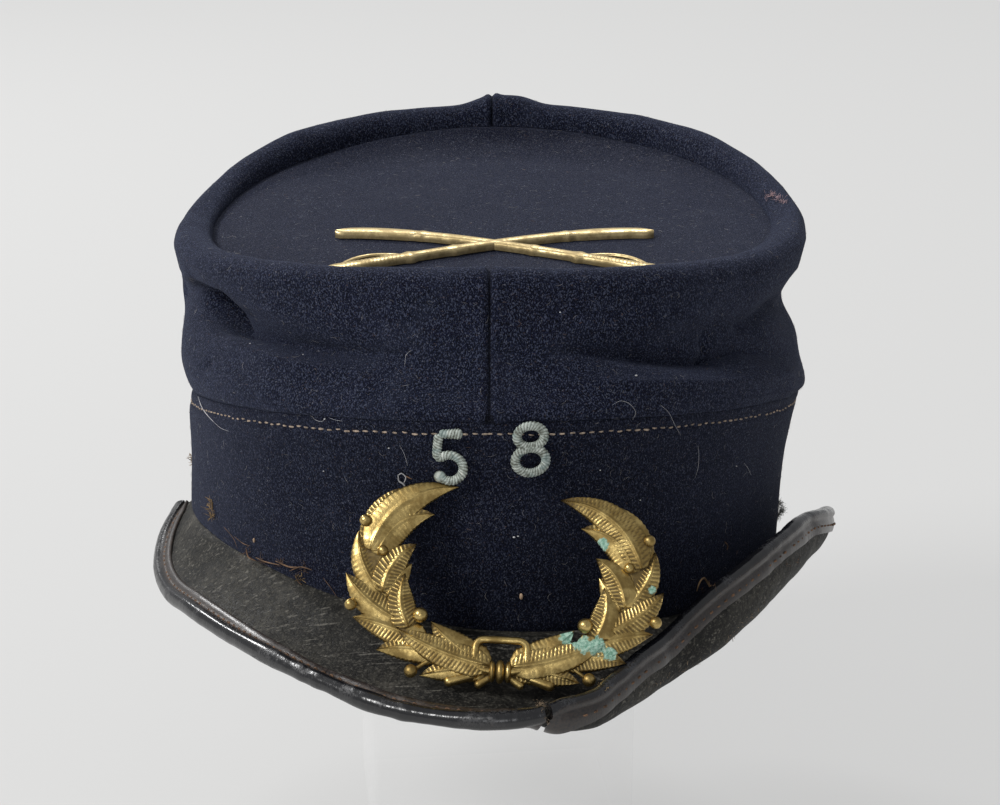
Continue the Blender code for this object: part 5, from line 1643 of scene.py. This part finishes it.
def build_scraps():
    golden = tuft([sight_at(193, 457, 0.004), sight_at(193, 462, 0.004)], 60, 0.0005, 0.0014, (-0.7, -0.2, 0.2))
    golden += tuft(traced([(212, 503), (213, 509), (214, 516)]), 60, 0.0008, 0.0022)
    golden += tuft(traced([(299, 577), (302, 579)]), 26, 0.0006, 0.0014)
    golden += tuft(traced([(601, 684), (606, 688)]), 18, 0.0003, 0.0008)
    trim("golden_tufts", golden, (0.00004, 0.00009),
         plain_finish("golden_hair", (0.260, 0.170, 0.075), 0.85, 0.5, 500.0))
    twigs = [crumb_line(*args) for args in (
        (((249, 548), (251, 556), (258, 560)), 0.00022), (((255, 560), (268, 561), (282, 564)), 0.00020),
        (((278, 560), (292, 566), (300, 566)), 0.00024), (((292, 570), (303, 566), (314, 569)), 0.00020),
        (((298, 574), (300, 580), (304, 583)), 0.00018), (((722, 541), (725, 545), (724, 549)), 0.00022),
        (((405, 474), (409, 476), (413, 478)), 0.00016), (((237, 536), (246, 543), (252, 545)), 0.00012),
        (((325, 577), (332, 586), (339, 596)), 0.00010), (((226, 526), (236, 538), (240, 548)), 0.00008))]
    twigs = [twig for twig in twigs if len(twig[0]) > 2]
    hairs = tuft(traced([(250, 551), (262, 560), (282, 563), (305, 568)]), 60, 0.0008, 0.0026)
    hairs += tuft(traced([(786, 566), (797, 560), (714, 588), (700, 592)]), 30, 0.0008, 0.0020)
    trim("brown_twigs", [line for line, _ in twigs] + hairs,
         [radius for _, radius in twigs] + [random.uniform(0.00003, 0.00006) for _ in hairs],
         plain_finish("brown_twig", (0.125, 0.070, 0.038), 0.85, 0.5, 500.0))
    beige = [crumb_line(pixels, radius, cloth_tree) for pixels, radius in (
        (((694, 590), (697, 581), (701, 577), (705, 582), (708, 586), (716, 586)), 0.00030),
        (((706, 583), (712, 588), (718, 584)), 0.00020))]
    trim("beige_thread", [line for line, _ in beige], [radius for _, radius in beige],
         plain_finish("beige_thread", (0.300, 0.190, 0.100), 0.85, 0.4, 500.0))
    olive = tuft([sight_at(778, 503, -0.004), sight_at(781, 510, -0.006), sight_at(777, 515, -0.006)], 260, 0.0006,
                 0.0019, (0.5, -0.1, 0.3))
    trim("olive_tuft", olive, (0.00003, 0.00006), plain_finish("olive_hair", (0.120, 0.125, 0.110), 0.9, 0.5, 500.0))
    nip = tuft(traced([(767, 198), (772, 196), (777, 200), (783, 203)], 0.0002, tree_of(crown_right)), 120, 0.0004,
               0.0013, (0.0, -0.2, 0.8), 0.6)
    trim("nip_fuzz", nip, (0.00003, 0.00007), plain_finish("nip_fuzz", (0.380, 0.260, 0.270), 0.9, 0.6, 600.0))
    specks = [(px, py, (size * 1.6, size, size)) for px, py, size in (
        (514, 537, 0.0004), (518, 536, 0.0003), (325, 419, 0.0003), (389, 448, 0.0003), (324, 471, 0.00025),
        (736, 466, 0.00025), (636, 376, 0.0004), (250, 344, 0.00025), (303, 355, 0.00022), (560, 312, 0.00025),
        (600, 470, 0.00022), (640, 500, 0.00022))]
    lumps("white_specks", specks, 0.00015, 8, 6, plain_finish("white_speck", (0.55, 0.55, 0.56), 0.85, 0.2, 400.0))
    seeds = ((521, 596, (0.0009, 0.0009, 0.0016)), (255, 540, (0.0006, 0.0006, 0.0012)))
    lumps("seeds", seeds, 0.0003, 16, 10, plain_finish("seed", (0.420, 0.290, 0.190), 0.6, 0.35, 1500.0))


build_scraps()


def build_peak_stitches():
    """Tan thread in the binding's grooves: dull on top at the left, clearer underneath at the right."""
    matrices = []
    for start, end, under in ((-84.0, 4.0, False), (8.0, 80.0, True)):
        angles, _ = even_angles(start, end, PEAK_STITCH_PITCH)
        shape = PeakShape(angles)
        flange = np.minimum(BINDING_WIDTH - BINDING_BEAD, shape.length * 0.6)
        inward = np.array([flange * (0.60 if under else 0.42)])
        points, _, normals = shape.at(inward)
        sideways = np.gradient(points, axis=1)
        for k in range(1, len(angles) - 1):
            if random.random() < 0.12:
                continue
            normal = Vector(normals[0, k]) * (-1.0 if under else 1.0)
            depth = -SKIN / 2 - ROLL * 0.97 if under else ROLL * 0.80 - SKIN / 2
            at = Vector(points[0, k]) + Vector(normals[0, k]) * depth
            matrices.append(seated(at + normal * 0.00006, Vector(sideways[0, k]), normal, random.uniform(-0.12, 0.12),
                                   random.uniform(0.8, 1.15)))
    stitch = capsule("peak_stitch", PEAK_STITCH_LENGTH, PEAK_STITCH_RADIUS)
    obj = scattered("peak_stitches", stitch, matrices)
    return piece(obj, plain_finish("rusty_thread", (0.120, 0.066, 0.036), 0.85, 0.5))


build_peak_stitches()


def build_torn_edges():
    """Raw fuzz along the worn flange, the crack and the right lower edge."""
    torn = []
    for pixels, count in ((((372, 722), (420, 729), (470, 733), (520, 733), (545, 728)), 120),
                          (((532, 700), (538, 704), (543, 709), (545, 716), (549, 723)), 90),
                          (((640, 690), (690, 665), (724, 640), (765, 600)), 60)):
        line = smoothed(traced(pixels, 0.0002), 12)
        if len(line) > 2:
            torn += tuft(line, count, 0.0003, 0.0011, (0.0, -0.3, -0.3), 0.7)
    trim("torn_fuzz", torn, (0.00003, 0.00008), plain_finish("torn_fuzz", (0.200, 0.145, 0.095), 0.9, 0.6, 600.0))


build_torn_edges()


# ---- Light, floor and camera
LIGHT_AIM = Vector((0.0, 0.0, 0.13))
LIGHTS = table(
    "name place size power color",
    ("key", (-1.5, -0.9, 1.7), 0.7, 34.0, (1.0, 0.995, 0.98)),
    ("front", (-0.3, -2.2, 1.0), 0.9, 5.0, (0.97, 0.98, 1.0)),
    ("top", (0.05, 1.45, 1.95), 0.8, 17.0, (1.0, 1.0, 1.0)),
    ("window", (-0.95, 0.90, 0.95), 0.28, 9.0, (1.0, 1.0, 1.0)),
)
for row in LIGHTS:
    deselect()
    bpy.ops.object.light_add(type="AREA", location=row["place"])
    light = bpy.context.object
    light.name = row["name"]
    light.data.shape = "DISK"
    light.data.size = row["size"]
    light.data.energy = row["power"]
    light.data.color = row["color"]
    light.rotation_euler = (LIGHT_AIM - Vector(row["place"])).to_track_quat("-Z", "Y").to_euler()

world = bpy.data.worlds.new("pale_room")
scene.world = world
world.use_nodes = True
world.node_tree.nodes["Background"].inputs["Color"].default_value = (0.95, 0.965, 1.0, 1.0)
world.node_tree.nodes["Background"].inputs["Strength"].default_value = 0.38

deselect()
bpy.ops.mesh.primitive_plane_add(size=9.0)
floor = named(bpy.context.object, "floor")
floor.data.transform(Matrix.Translation((0.0, 0.0, -FLOOR_DROP)))
floor_finish = Finish("pale_floor", Base_Color=(0.215, 0.214, 0.212), Roughness=0.9, Specular_IOR_Level=0.05,
                      Emission_Color=(1.0, 1.0, 0.99), Emission_Strength=0.470)
paint(floor, floor_finish.material)

camera_data = bpy.data.cameras.new("camera")
camera_data.lens = LENS
camera_data.sensor_width = SENSOR
camera_data.clip_start = 0.01
camera = bpy.data.objects.new("camera", camera_data)
camera.location = EYE
camera.rotation_euler = SIGHT.to_track_quat("-Z", "Y").to_euler()
scene.collection.objects.link(camera)
scene.camera = camera
scene.view_settings.view_transform = "Standard"
